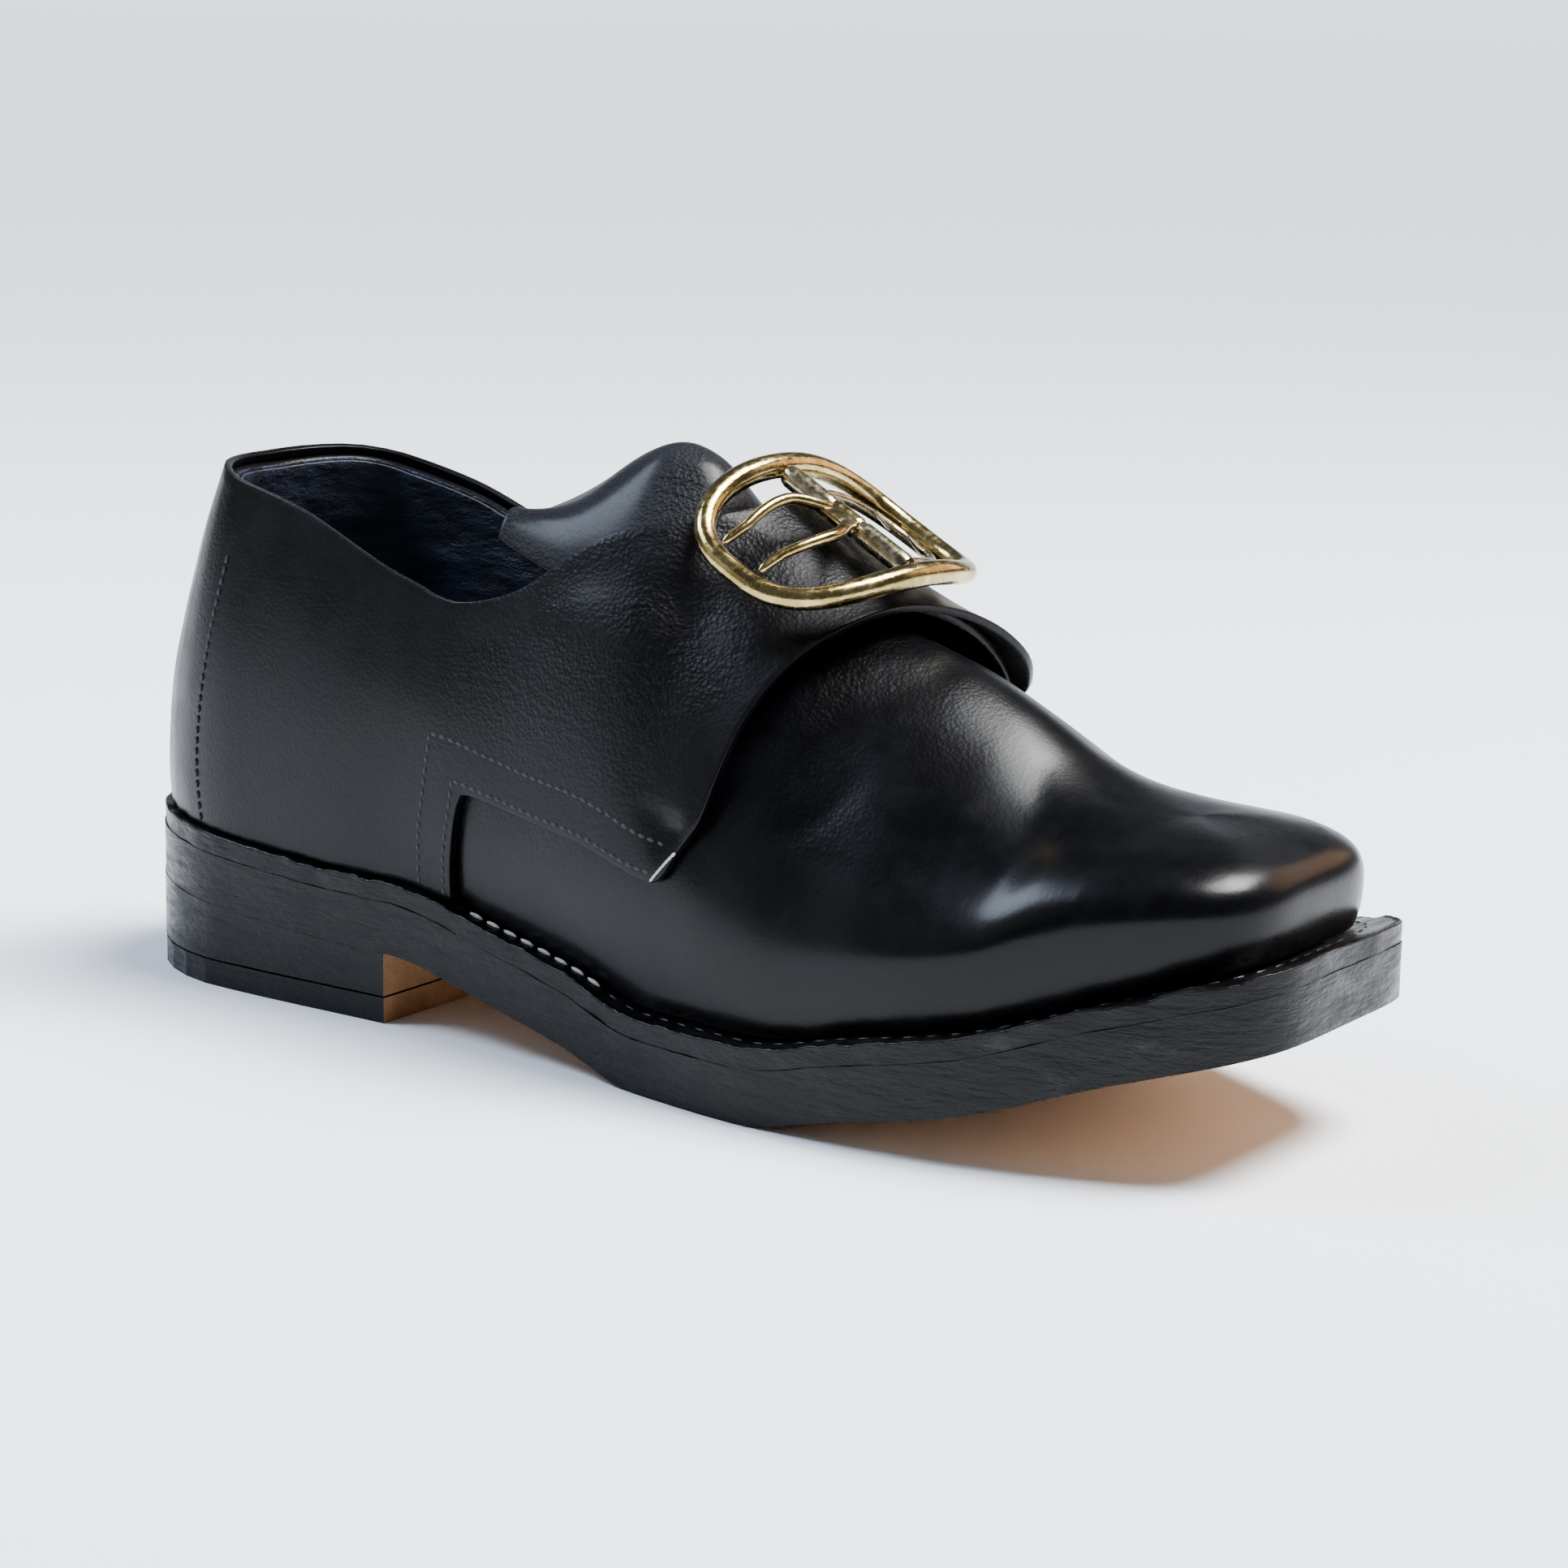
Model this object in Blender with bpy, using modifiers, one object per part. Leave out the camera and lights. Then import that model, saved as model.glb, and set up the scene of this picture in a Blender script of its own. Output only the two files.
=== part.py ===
"""Colonial buckle shoe on a straight last, standing on its sole and heel.

+X points to the toe, +Z up, and the wearer's right side is -Y. The origin is the middle of
the shoe's length and width, on the ground. Lengths are in metres. Positions along the shoe
are measured from the back of the heel and moved to the middle when a mesh is made.
"""
import math
from collections import namedtuple

import bmesh
import bpy
import numpy as np
from mathutils import Matrix, Vector

MM = 0.001

# Sole and heel
LENGTH = 300 * MM
BALL_WIDTH = 108.2 * MM
OUTSOLE = 11.5 * MM
WELT = 4.5 * MM
INSOLE = 3.0 * MM
HEEL_REAR = 21.8 * MM
HEEL_BREAST = 15.7 * MM
HEEL_LENGTH = 87 * MM
THROAT = 166 * MM
TOP_LIFT = 6.0 * MM
TOE_SPRING = 27.8 * MM
EDGE_ROUND = 0.8 * MM

# Last and upper
HEEL_CENTRE = 41 * MM
TOE_CENTRE = 262 * MM
TOE_DEPTH = 31 * MM
TOE_BELLY_RISE = 8.5 * MM
TOE_TOP_DROP = 2.5 * MM
TOE_TAPER = 0.27
SOLE_TOE_CORNER = 7.0
UPPER_TOE_CORNER = 4.0
INSTEP_RISE = 94.7 * MM
COLLAR_RISE = 77.8 * MM
WALL = 2.0 * MM
QUARTER_WALL = 1.8 * MM
QUARTER_GAP = 0.5 * MM
TONGUE_WALL = 2.0 * MM
LATCHET_LIFT = 12.0 * MM
TONGUE_RISE = 20.0 * MM
CLEARANCE = 0.3 * MM
BELLY_GIRTH = 0.22

# Buckle, in its own frame: x along the shoe, y across the instep, z away from the foot
BUCKLE_LONG = 60 * MM
BUCKLE_SHORT = 43 * MM
BUCKLE_SAG = 8.9 * MM
BUCKLE_WIRE = 4.4 * MM
BUCKLE_CORNER = 2.8
BUCKLE_AT = 0.601
BUCKLE_STAND = 11.0 * MM
BUCKLE_TILT, BUCKLE_ROLL, BUCKLE_YAW = -0.106, 0.011, -0.127
SPINDLE_WIRE = 3.0 * MM
SPINDLE_DROP = 0.2 * MM
KNUCKLE_WALL = 0.7 * MM
FORK_KNUCKLE = 8.0 * MM
FORK_SPREAD = 11.0 * MM
FORK_WIRE = 2.2 * MM
FORK_NECK = 6.0 * MM
FORK_NECK_THICKNESS = 1.4 * MM
PRONG_START = 3.2 * MM
PRONG_SHORT_OF_FRAME = 0.2 * MM
PRONG_BOW = 1.6 * MM
PRONG_CROWN = 2.4 * MM
CHAPE_WIDTH = 27 * MM
CHAPE_REACH = 25 * MM
CHAPE_CENTRE = 9.0 * MM
CHAPE_WIRE = 2.4 * MM
CHAPE_DROP = 2.6 * MM
CHAPE_DROP_WITHIN = 8.0 * MM
CHAPE_BAR_AT = 5.0 * MM
CHAPE_BAR_WIDTH = 2.8 * MM
CHAPE_BAR_THICKNESS = 1.6 * MM
EAR_START = 0.8 * MM
EAR_LENGTH = 3.6 * MM
EAR_INSET = 0.1 * MM
TOOTH_LENGTH = 9 * MM
TOOTH_SPREAD = 10 * MM
TOOTH_RISE = 2.0 * MM

# Heel nails
NAIL_HEAD = 5.2 * MM
NAIL_HEAD_THICKNESS = 1.5 * MM
NAIL_SHANK = 2.4 * MM

# Height of the sole's underside: a share of the heel seat's pitch, of the heel's height at
# its breast and of the toe spring
SoleRow = namedtuple("SoleRow", "at pitch waist spring")
SOLE_ROWS = [
    SoleRow(0.000, 1.0, 1.00, 0.000),
    SoleRow(0.290, 0.0, 1.00, 0.000),
    SoleRow(0.383, 0.0, 0.67, 0.000),
    SoleRow(0.467, 0.0, 0.33, 0.000),
    SoleRow(0.540, 0.0, 0.00, 0.000),
    SoleRow(0.633, 0.0, 0.00, 0.000),
    SoleRow(0.717, 0.0, 0.00, 0.176),
    SoleRow(0.800, 0.0, 0.00, 0.350),
    SoleRow(0.900, 0.0, 0.00, 0.700),
    SoleRow(1.000, 0.0, 0.00, 1.000),
]

# Half width of the sole as a share of half the ball width
PlanRow = namedtuple("PlanRow", "at width")
PLAN_ROWS = [
    PlanRow(0.137, 0.684),
    PlanRow(0.180, 0.695),
    PlanRow(0.300, 0.708),
    PlanRow(0.350, 0.725),
    PlanRow(0.400, 0.760),
    PlanRow(0.450, 0.795),
    PlanRow(0.500, 0.847),
    PlanRow(0.550, 0.906),
    PlanRow(0.600, 0.961),
    PlanRow(0.650, 0.993),
    PlanRow(0.700, 1.000),
    PlanRow(0.750, 0.991),
    PlanRow(0.800, 0.956),
    PlanRow(0.850, 0.896),
    PlanRow(0.873, 0.861),
]

# Sections of the last: half widths at the feather and at the belly as shares of half the
# ball width, heights of belly and ridge above the feather as shares of the instep rise, and
# how full the curve is at its side and at its top
LastRow = namedtuple("LastRow", "at foot belly belly_rise ridge side top")
LAST_ROWS = [
    LastRow(0.137, 0.606, 0.628, 0.222, 1.257, 0.55, 0.55),
    LastRow(0.200, 0.616, 0.643, 0.232, 1.257, 0.55, 0.55),
    LastRow(0.300, 0.621, 0.658, 0.232, 1.151, 0.55, 0.55),
    LastRow(0.350, 0.632, 0.677, 0.243, 1.130, 0.55, 0.55),
    LastRow(0.400, 0.658, 0.706, 0.232, 1.120, 0.53, 0.53),
    LastRow(0.450, 0.693, 0.750, 0.216, 1.130, 0.51, 0.51),
    LastRow(0.500, 0.739, 0.795, 0.211, 1.115, 0.50, 0.50),
    LastRow(0.553, 0.795, 0.847, 0.197, 1.018, 0.46, 0.46),
    LastRow(0.600, 0.836, 0.884, 0.180, 0.919, 0.43, 0.43),
    LastRow(0.650, 0.860, 0.902, 0.164, 0.816, 0.40, 0.40),
    LastRow(0.700, 0.867, 0.904, 0.154, 0.724, 0.35, 0.36),
    LastRow(0.750, 0.856, 0.893, 0.150, 0.615, 0.32, 0.33),
    LastRow(0.800, 0.823, 0.861, 0.154, 0.490, 0.36, 0.34),
    LastRow(0.840, 0.776, 0.817, 0.162, 0.398, 0.52, 0.50),
    LastRow(0.873, 0.732, 0.773, 0.160, 0.334, 0.62, 0.62),
]

# Profile of the heel's back: how far it leans in, as a share of the heel centre's distance,
# at heights above the feather that are shares of the collar rise
BackRow = namedtuple("BackRow", "rise inset")
BACK_ROWS = [
    BackRow(0.00, 0.105),
    BackRow(0.10, 0.090),
    BackRow(0.26, 0.115),
    BackRow(0.40, 0.161),
    BackRow(0.55, 0.246),
    BackRow(0.71, 0.337),
    BackRow(0.86, 0.424),
    BackRow(1.00, 0.530),
    BackRow(1.30, 0.730),
]

# Top edge of the inner wall, from the heel's back to the throat: girth 1 is the ridge
EdgeRow = namedtuple("EdgeRow", "at girth")
INNER_EDGE_ROWS = [
    EdgeRow(0.000, 0.532),
    EdgeRow(0.067, 0.536),
    EdgeRow(0.137, 0.522),
    EdgeRow(0.183, 0.507),
    EdgeRow(0.225, 0.489),
    EdgeRow(0.265, 0.476),
    EdgeRow(0.300, 0.466),
    EdgeRow(0.340, 0.463),
    EdgeRow(0.385, 0.485),
    EdgeRow(0.420, 0.540),
    EdgeRow(0.460, 0.640),
    EdgeRow(0.500, 0.745),
    EdgeRow(0.530, 0.850),
    EdgeRow(THROAT / LENGTH, 1.000),
]

# Top edge of the quarters around the heel: stations of the rib's foot and of its top
CollarRow = namedtuple("CollarRow", "at top_at top_girth")
COLLAR_ROWS = [
    CollarRow(0.000, 0.000, 0.542),
    CollarRow(0.067, 0.067, 0.546),
    CollarRow(0.137, 0.137, 0.532),
    CollarRow(0.187, 0.180, 0.518),
    CollarRow(0.237, 0.223, 0.499),
    CollarRow(0.285, 0.265, 0.486),
    CollarRow(0.330, 0.307, 0.475),
]

# Ribs of the quarters from there forward, one table for each side. Each rib joins a point of
# the lower and front edge to a point of the collar and rear edge. Past girth 1 it lies over
# the ridge
RibRow = namedtuple("RibRow", "low_at low_girth top_at top_girth")
NEAR_RIBS = [
    RibRow(0.348, 0.010, 0.325, 0.470),
    RibRow(0.353, 0.120, 0.341, 0.472),
    RibRow(0.365, 0.238, 0.356, 0.482),
    RibRow(0.408, 0.253, 0.378, 0.507),
    RibRow(0.458, 0.267, 0.405, 0.545),
    RibRow(0.508, 0.279, 0.432, 0.600),
    RibRow(0.553, 0.290, 0.462, 0.665),
    RibRow(0.573, 0.350, 0.488, 0.715),
    RibRow(0.590, 0.420, 0.505, 0.760),
    RibRow(0.596, 0.480, 0.517, 0.800),
    RibRow(0.602, 0.560, 0.526, 0.840),
    RibRow(0.609, 0.635, 0.533, 0.880),
    RibRow(0.619, 0.720, 0.538, 0.920),
    RibRow(0.636, 0.850, 0.543, 0.970),
    RibRow(0.652, 1.000, 0.549, 1.050),
    RibRow(0.664, 1.130, 0.556, 1.130),
    RibRow(0.672, 1.230, 0.562, 1.200),
    RibRow(0.676, 1.310, 0.567, 1.265),
    RibRow(0.668, 1.385, 0.572, 1.330),
    RibRow(0.648, 1.440, 0.580, 1.390),
]
FAR_RIBS = [
    RibRow(0.348, 0.010, 0.325, 0.470),
    RibRow(0.353, 0.120, 0.341, 0.472),
    RibRow(0.365, 0.238, 0.356, 0.482),
    RibRow(0.408, 0.253, 0.378, 0.507),
    RibRow(0.458, 0.267, 0.405, 0.545),
    RibRow(0.508, 0.279, 0.432, 0.600),
    RibRow(0.565, 0.290, 0.462, 0.665),
    RibRow(0.595, 0.345, 0.488, 0.715),
    RibRow(0.622, 0.410, 0.505, 0.760),
    RibRow(0.642, 0.480, 0.517, 0.800),
    RibRow(0.655, 0.560, 0.526, 0.840),
    RibRow(0.658, 0.650, 0.533, 0.880),
    RibRow(0.654, 0.760, 0.540, 0.930),
    RibRow(0.645, 0.880, 0.546, 0.980),
    RibRow(0.636, 1.000, 0.552, 1.030),
]

# How far the latchets stand off the last, as shares of the latchet lift: on the near side,
# on the ridge and on the far side
LiftRow = namedtuple("LiftRow", "at near ridge far")
LIFT_ROWS = [
    LiftRow(0.350, 0.00, 0.20, 0.19),
    LiftRow(0.400, 0.16, 0.26, 0.19),
    LiftRow(0.450, 0.30, 0.30, 0.28),
    LiftRow(0.490, 0.33, 0.28, 0.34),
    LiftRow(0.543, 0.17, 0.20, 0.42),
    LiftRow(0.600, 0.42, 0.22, 0.56),
    LiftRow(0.650, 0.62, 0.34, 0.78),
    LiftRow(0.710, 0.62, 0.42, 0.90),
]
LIFT_GIRTHS = namedtuple("LiftGirths", "start near ridge far far_side end")(0.28, 0.62, 1.0, 1.33, 1.62, 1.85)
FAR_SIDE_LIFT = 0.65

# Tongue: girth of its side edge, how far that edge stands off the last, and how far the ridge
# is raised, as shares of the tongue's rise
TongueRow = namedtuple("TongueRow", "at girth edge raised")
TONGUE_ROWS = [
    TongueRow(0.353, 0.590, -0.25, -0.90),
    TongueRow(0.393, 0.585, -0.22, -0.52),
    TongueRow(0.433, 0.580, -0.19, -0.12),
    TongueRow(0.470, 0.580, -0.16, 0.20),
    TongueRow(0.500, 0.585, -0.16, 0.22),
    TongueRow(0.520, 0.590, -0.19, 0.08),
    TongueRow(0.533, 0.600, -0.20, 0.00),
    TongueRow(0.600, 0.660, -0.20, 0.00),
]

# Heel nails: place as shares of the heel's length and of half the ball width
NailRow = namedtuple("NailRow", "at across")
NAIL_ROWS = [
    NailRow(0.872, -0.545),
    NailRow(0.872, 0.545),
    NailRow(0.597, -0.508),
    NailRow(0.597, 0.508),
    NailRow(0.286, -0.388),
    NailRow(0.286, 0.388),
    NailRow(0.121, 0.0),
]

Finish = namedtuple("Finish", "colour metallic roughness")
FINISHES = {
    "black_leather": Finish((0.012, 0.013, 0.018, 1), 0.0, 0.38),
    "pebbled_leather": Finish((0.014, 0.015, 0.021, 1), 0.0, 0.45),
    "sole_leather": Finish((0.38, 0.19, 0.08, 1), 0.0, 0.6),
    "edge_black": Finish((0.010, 0.010, 0.013, 1), 0.0, 0.4),
    "lining": Finish((0.010, 0.014, 0.030, 1), 0.0, 0.7),
    "brass": Finish((0.78, 0.60, 0.25, 1), 1.0, 0.25),
    "steel": Finish((0.55, 0.52, 0.48, 1), 1.0, 0.4),
}


class Curve:
    """A monotone cubic through a table's column, flat where neighbours are equal."""

    def __init__(self, positions, values):
        self.positions = np.array(positions, float)
        self.values = np.array(values, float)
        steps = np.diff(self.positions)
        slopes = np.diff(self.values) / steps
        self.slopes = np.zeros(len(positions))
        self.slopes[0], self.slopes[-1] = slopes[0], slopes[-1]
        for i in range(1, len(positions) - 1):
            if slopes[i - 1] * slopes[i] > 0:
                before = 2 * steps[i] + steps[i - 1]
                after = steps[i] + 2 * steps[i - 1]
                self.slopes[i] = (before + after) / (before / slopes[i - 1] + after / slopes[i])

    def __call__(self, position):
        position = min(max(position, self.positions[0]), self.positions[-1])
        i = int(np.searchsorted(self.positions, position)) - 1
        i = min(max(i, 0), len(self.positions) - 2)
        step = self.positions[i + 1] - self.positions[i]
        u = (position - self.positions[i]) / step
        rise = 3 * u**2 - 2 * u**3
        return float(
            (1 - rise) * self.values[i]
            + rise * self.values[i + 1]
            + (u**3 - 2 * u**2 + u) * step * self.slopes[i]
            + (u**3 - u**2) * step * self.slopes[i + 1]
        )


def curves(rows):
    """One curve for each column of a table whose first column is the position."""
    first, *others = rows[0]._fields
    positions = [getattr(row, first) for row in rows]
    return {name: Curve(positions, [getattr(row, name) for row in rows]) for name in others}


SOLE = curves(SOLE_ROWS)
PLAN = curves(PLAN_ROWS)
LAST = curves(LAST_ROWS)
BACK = curves(BACK_ROWS)
INNER_EDGE = curves(INNER_EDGE_ROWS)
COLLAR = curves(COLLAR_ROWS)
LIFT = curves(LIFT_ROWS)
TONGUE = curves(TONGUE_ROWS)


def mix(a, b, share):
    return a + (b - a) * share


def bezier2(a, b, c, t):
    return (1 - t)**2 * a + 2 * t * (1 - t) * b + t**2 * c


def bezier3(a, b, c, d, t):
    return (1 - t)**3 * a + 3 * t * (1 - t)**2 * b + 3 * t**2 * (1 - t) * c + t**3 * d


def sole_bottom(x):
    """Height of the outsole's underside at x from the heel's back."""
    at = x / LENGTH
    pitch = SOLE["pitch"](at) * (HEEL_REAR - HEEL_BREAST)
    return pitch + SOLE["waist"](at) * HEEL_BREAST + SOLE["spring"](at) * TOE_SPRING


def sole_top(x):
    return sole_bottom(x) + OUTSOLE + WELT


def feather(x):
    """Height where the upper leaves the welt."""
    return sole_top(x) + CLEARANCE


def superellipse(turn, power):
    """Forward and sideways shares of a rounded end, turned from side to front."""
    return math.sin(turn)**(2 / power), max(math.cos(turn), 0.0)**(2 / power)


def sole_edge(station):
    """Distance along the shoe and half width of the sole's outline at a station."""
    half = BALL_WIDTH / 2
    if station < HEEL_CENTRE:
        turn = (1 - station / HEEL_CENTRE) * math.pi / 2
        width = PLAN["width"](HEEL_CENTRE / LENGTH) * half
        return HEEL_CENTRE * (1 - math.sin(turn)), width * math.cos(turn)
    if station > TOE_CENTRE:
        turn = (station - TOE_CENTRE) / (LENGTH - TOE_CENTRE) * math.pi / 2
        forward, sideways = superellipse(turn, SOLE_TOE_CORNER)
        width = PLAN["width"](TOE_CENTRE / LENGTH) * half
        x = TOE_CENTRE + (LENGTH - TOE_CENTRE) * forward
        return x, width * sideways * (1 - TOE_TAPER * forward)
    return station, PLAN["width"](station / LENGTH) * half


def last_section(x, girth):
    """Half width and height of the last at a girth share, 0 at the feather, 1 at the ridge."""
    at = x / LENGTH
    foot = LAST["foot"](at) * BALL_WIDTH / 2
    belly = LAST["belly"](at) * BALL_WIDTH / 2
    base = feather(x)
    middle = base + LAST["belly_rise"](at) * INSTEP_RISE
    ridge = base + LAST["ridge"](at) * INSTEP_RISE
    if girth < BELLY_GIRTH:
        t = girth / BELLY_GIRTH
        return bezier2(foot, belly, belly, t), bezier2(base, mix(base, middle, 0.35), middle, t)
    t = (girth - BELLY_GIRTH) / (1 - BELLY_GIRTH)
    shoulder = mix(middle, ridge, LAST["side"](at))
    return (
        bezier3(belly, belly, LAST["top"](at) * belly, 0, t),
        bezier3(middle, shoulder, ridge, ridge, t),
    )


def toe_section(girth):
    """Reach in front of the toe's centre and height on the middle plane."""
    base = feather(TOE_CENTRE + TOE_DEPTH)
    ridge = last_section(TOE_CENTRE, 1.0)[1]
    middle = base + TOE_BELLY_RISE
    if girth < BELLY_GIRTH:
        t = girth / BELLY_GIRTH
        reach = bezier2(0.95 * TOE_DEPTH, TOE_DEPTH, TOE_DEPTH, t)
        return reach, bezier2(base, mix(base, middle, 0.35), middle, t)
    t = (girth - BELLY_GIRTH) / (1 - BELLY_GIRTH)
    reach = bezier3(TOE_DEPTH, TOE_DEPTH, 0.8 * TOE_DEPTH, 0, t)
    return reach, bezier3(middle, mix(middle, ridge, 0.75), ridge - TOE_TOP_DROP, ridge, t)


def heel_point(station, girth):
    turn = (1 - station / HEEL_CENTRE) * math.pi / 2
    width, height = last_section(HEEL_CENTRE, girth)
    rise = (height - feather(HEEL_CENTRE)) / COLLAR_RISE
    reach = HEEL_CENTRE * (1 - BACK["inset"](rise))
    x = HEEL_CENTRE - reach * math.sin(turn)
    height += (feather(x) - feather(HEEL_CENTRE)) * (1 - girth)
    return Vector((x, -width * math.cos(turn), height))


def toe_point(station, girth):
    turn = min((station - TOE_CENTRE) / (LENGTH - TOE_CENTRE), 1.0) * math.pi / 2
    width, height = last_section(TOE_CENTRE, girth)
    reach, front_height = toe_section(girth)
    forward, sideways = superellipse(turn, UPPER_TOE_CORNER)
    x = TOE_CENTRE + reach * forward
    share = math.sin(turn)**2
    base = mix(feather(TOE_CENTRE), feather(TOE_CENTRE + TOE_DEPTH), share)
    height = mix(height, front_height, share) + (feather(x) - base) * (1 - girth)**2
    return Vector((x, -width * sideways * (1 - TOE_TAPER * forward), height))


def last_point(station, girth):
    """A point of the last's surface. Girth 0 to 1 is the near side, 1 to 2 the far side."""
    if girth > 1:
        x, y, z = last_point(station, 2 - girth)
        return Vector((x, -y, z))
    if station < HEEL_CENTRE:
        return heel_point(station, girth)
    if station > TOE_CENTRE:
        return toe_point(station, girth)
    width, height = last_section(station, girth)
    return Vector((station, -width, height))


def last_normal(station, girth):
    if girth > 1:
        x, y, z = last_normal(station, 2 - girth)
        return Vector((x, -y, z))
    step, turn = 0.1 * MM, 0.001
    station = min(max(station, step), LENGTH - step)
    girth = min(max(girth, turn), 1 - turn)
    along = last_point(station + step, girth) - last_point(station - step, girth)
    around = last_point(station, girth + turn) - last_point(station, girth - turn)
    return along.cross(around).normalized()


def off_last(station, girth, offset):
    """A point at an offset from the last's surface, outwards where it is positive."""
    return last_point(station, girth) + last_normal(station, girth) * offset


def girth_at_height(station, height):
    """The near side's girth share at a height, by halving."""
    low, high = 0.0, 1.0
    for _ in range(30):
        middle = (low + high) / 2
        if last_point(station, middle).z < height:
            low = middle
        else:
            high = middle
    return low


def ease(a, b, value):
    """A smooth step from 0 at a to 1 at b."""
    t = min(max((value - a) / (b - a), 0.0), 1.0)
    return t * t * (3 - 2 * t)


def near_lift(station, girth):
    """How far the near latchet stands off the last."""
    at = station / LENGTH
    near, ridge, far = (LIFT[name](at) for name in ("near", "ridge", "far"))
    places = LIFT_GIRTHS
    if girth < places.near:
        share = near * ease(places.start, places.near, girth)
    elif girth < places.ridge:
        share = mix(near, ridge, ease(places.near, places.ridge, girth))
    elif girth < places.far:
        share = mix(ridge, far, ease(places.ridge, places.far, girth))
    elif girth < places.far_side:
        share = mix(far, far * FAR_SIDE_LIFT, ease(places.far, places.far_side, girth))
    else:
        share = far * FAR_SIDE_LIFT * (1 - ease(places.far_side, places.end, girth))
    return share * LATCHET_LIFT


def far_lift(station, girth):
    """How far the far latchet stands off the last: it lies under the near one."""
    lift = near_lift(station, 2 - girth) - QUARTER_WALL - 2 * CLEARANCE
    return max(lift, 0.0) * ease(LIFT_GIRTHS.start, 0.45, girth)


def centred(point):
    """Moves a point measured from the heel's back to the shoe's own origin."""
    return Vector((point[0] - LENGTH / 2, point[1], point[2]))


def spread(low, high, count):
    return [low + (high - low) * i / count for i in range(count + 1)]


def stations():
    """Stations along the shoe, shared by every piece and closer together at both ends."""
    heel = spread(0.0, HEEL_CENTRE, 8) + spread(HEEL_CENTRE, HEEL_LENGTH, 6)[1:]
    waist = spread(HEEL_LENGTH, THROAT, 9)[1:] + spread(THROAT, TOE_CENTRE, 11)[1:]
    return heel + waist + spread(TOE_CENTRE, LENGTH, 9)[1:]


def heel_stations():
    return [station for station in stations() if station <= HEEL_LENGTH]


def make_material(name):
    finish = FINISHES[name]
    material = bpy.data.materials.new(name)
    material.use_nodes = True
    shader = material.node_tree.nodes["Principled BSDF"]
    shader.inputs["Base Color"].default_value = finish.colour
    shader.inputs["Metallic"].default_value = finish.metallic
    shader.inputs["Roughness"].default_value = finish.roughness
    material.diffuse_color = finish.colour
    return material


def add_object(name, mesh, finish, collection, sharp_angle=35):
    piece = bpy.data.objects.new(name, mesh)
    collection.objects.link(piece)
    mesh.materials.clear()
    mesh.materials.append(bpy.data.materials.get(finish) or make_material(finish))
    mesh.shade_smooth()
    mesh.set_sharp_from_angle(angle=math.radians(sharp_angle))
    return piece


def mapped_grid(columns, rows, place):
    """A bmesh grid whose vertex in column i and row j goes to place(i, j)."""
    grid = bmesh.new()
    bmesh.ops.create_grid(grid, x_segments=columns, y_segments=rows, size=0.5)
    column = grid.verts.layers.int.new("column")
    row = grid.verts.layers.int.new("row")
    for vert in grid.verts:
        vert[column] = round((vert.co.x + 0.5) * columns)
        vert[row] = round((vert.co.y + 0.5) * rows)
        vert.co = place(vert[column], vert[row])
    return grid, column, row


def finish_mesh(grid, name):
    mesh = bpy.data.meshes.new(name)
    grid.to_mesh(mesh)
    grid.free()
    return mesh


def slab(name, low_ring, high_ring):
    """A closed plate between two rings of (x, half width, height), one for each station."""
    count = len(low_ring) - 1

    def place(ring, i, j):
        x, half, height = ring[i]
        return centred((x, half * (2 * j - 1), height))

    grid, column, row = mapped_grid(count, 1, lambda i, j: place(low_ring, i, j))
    raised = bmesh.ops.extrude_face_region(grid, geom=grid.faces[:])
    for vert in raised["geom"]:
        if isinstance(vert, bmesh.types.BMVert):
            vert.co = place(high_ring, vert[column], vert[row])
    bmesh.ops.remove_doubles(grid, verts=grid.verts, dist=0.01 * MM)
    bmesh.ops.recalc_face_normals(grid, faces=grid.faces)
    return finish_mesh(grid, name)


def add_edge_round(piece):
    """Breaks a plate's sharp rim."""
    bevel = piece.modifiers.new("edge_round", "BEVEL")
    bevel.width = EDGE_ROUND
    bevel.segments = 1
    bevel.limit_method = "ANGLE"
    bevel.angle_limit = math.radians(50)


def add_wall(piece, thickness, outward):
    wall = piece.modifiers.new("wall", "SOLIDIFY")
    wall.thickness = thickness
    wall.offset = 1 if outward else -1


def face_the_heel(grid, column, heel):
    """Turns an open grid's faces outwards, seen at the column on the heel's back."""
    grid.normal_update()
    face = next(f for f in grid.faces if all(heel <= v[column] <= heel + 1 for v in f.verts))
    if face.normal.x > 0:
        bmesh.ops.reverse_faces(grid, faces=grid.faces)


def sole_layer(name, low, high, rows_of):
    """A plate with the sole's outline between two heights given as functions of x."""
    edge = [sole_edge(station) for station in rows_of]
    return slab(
        name,
        [(x, half, low(x)) for x, half in edge],
        [(x, half, high(x)) for x, half in edge],
    )


def make_outsole(collection):
    mesh = sole_layer(
        "outsole",
        sole_bottom,
        lambda x: sole_bottom(x) + OUTSOLE - CLEARANCE,
        stations(),
    )
    add_edge_round(add_object("outsole", mesh, "sole_leather", collection))


def make_welt(collection):
    """The welt and the filling inside it, one layer over the outsole."""
    mesh = sole_layer("welt", lambda x: sole_bottom(x) + OUTSOLE, sole_top, stations())
    add_object("welt", mesh, "edge_black", collection)


def make_heel(collection):
    """The stack of heel lifts, under the outsole and over the top lift."""
    mesh = sole_layer(
        "heel_stack",
        lambda x: TOP_LIFT,
        lambda x: sole_bottom(x) - CLEARANCE,
        heel_stations(),
    )
    add_object("heel_stack", mesh, "edge_black", collection)


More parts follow.
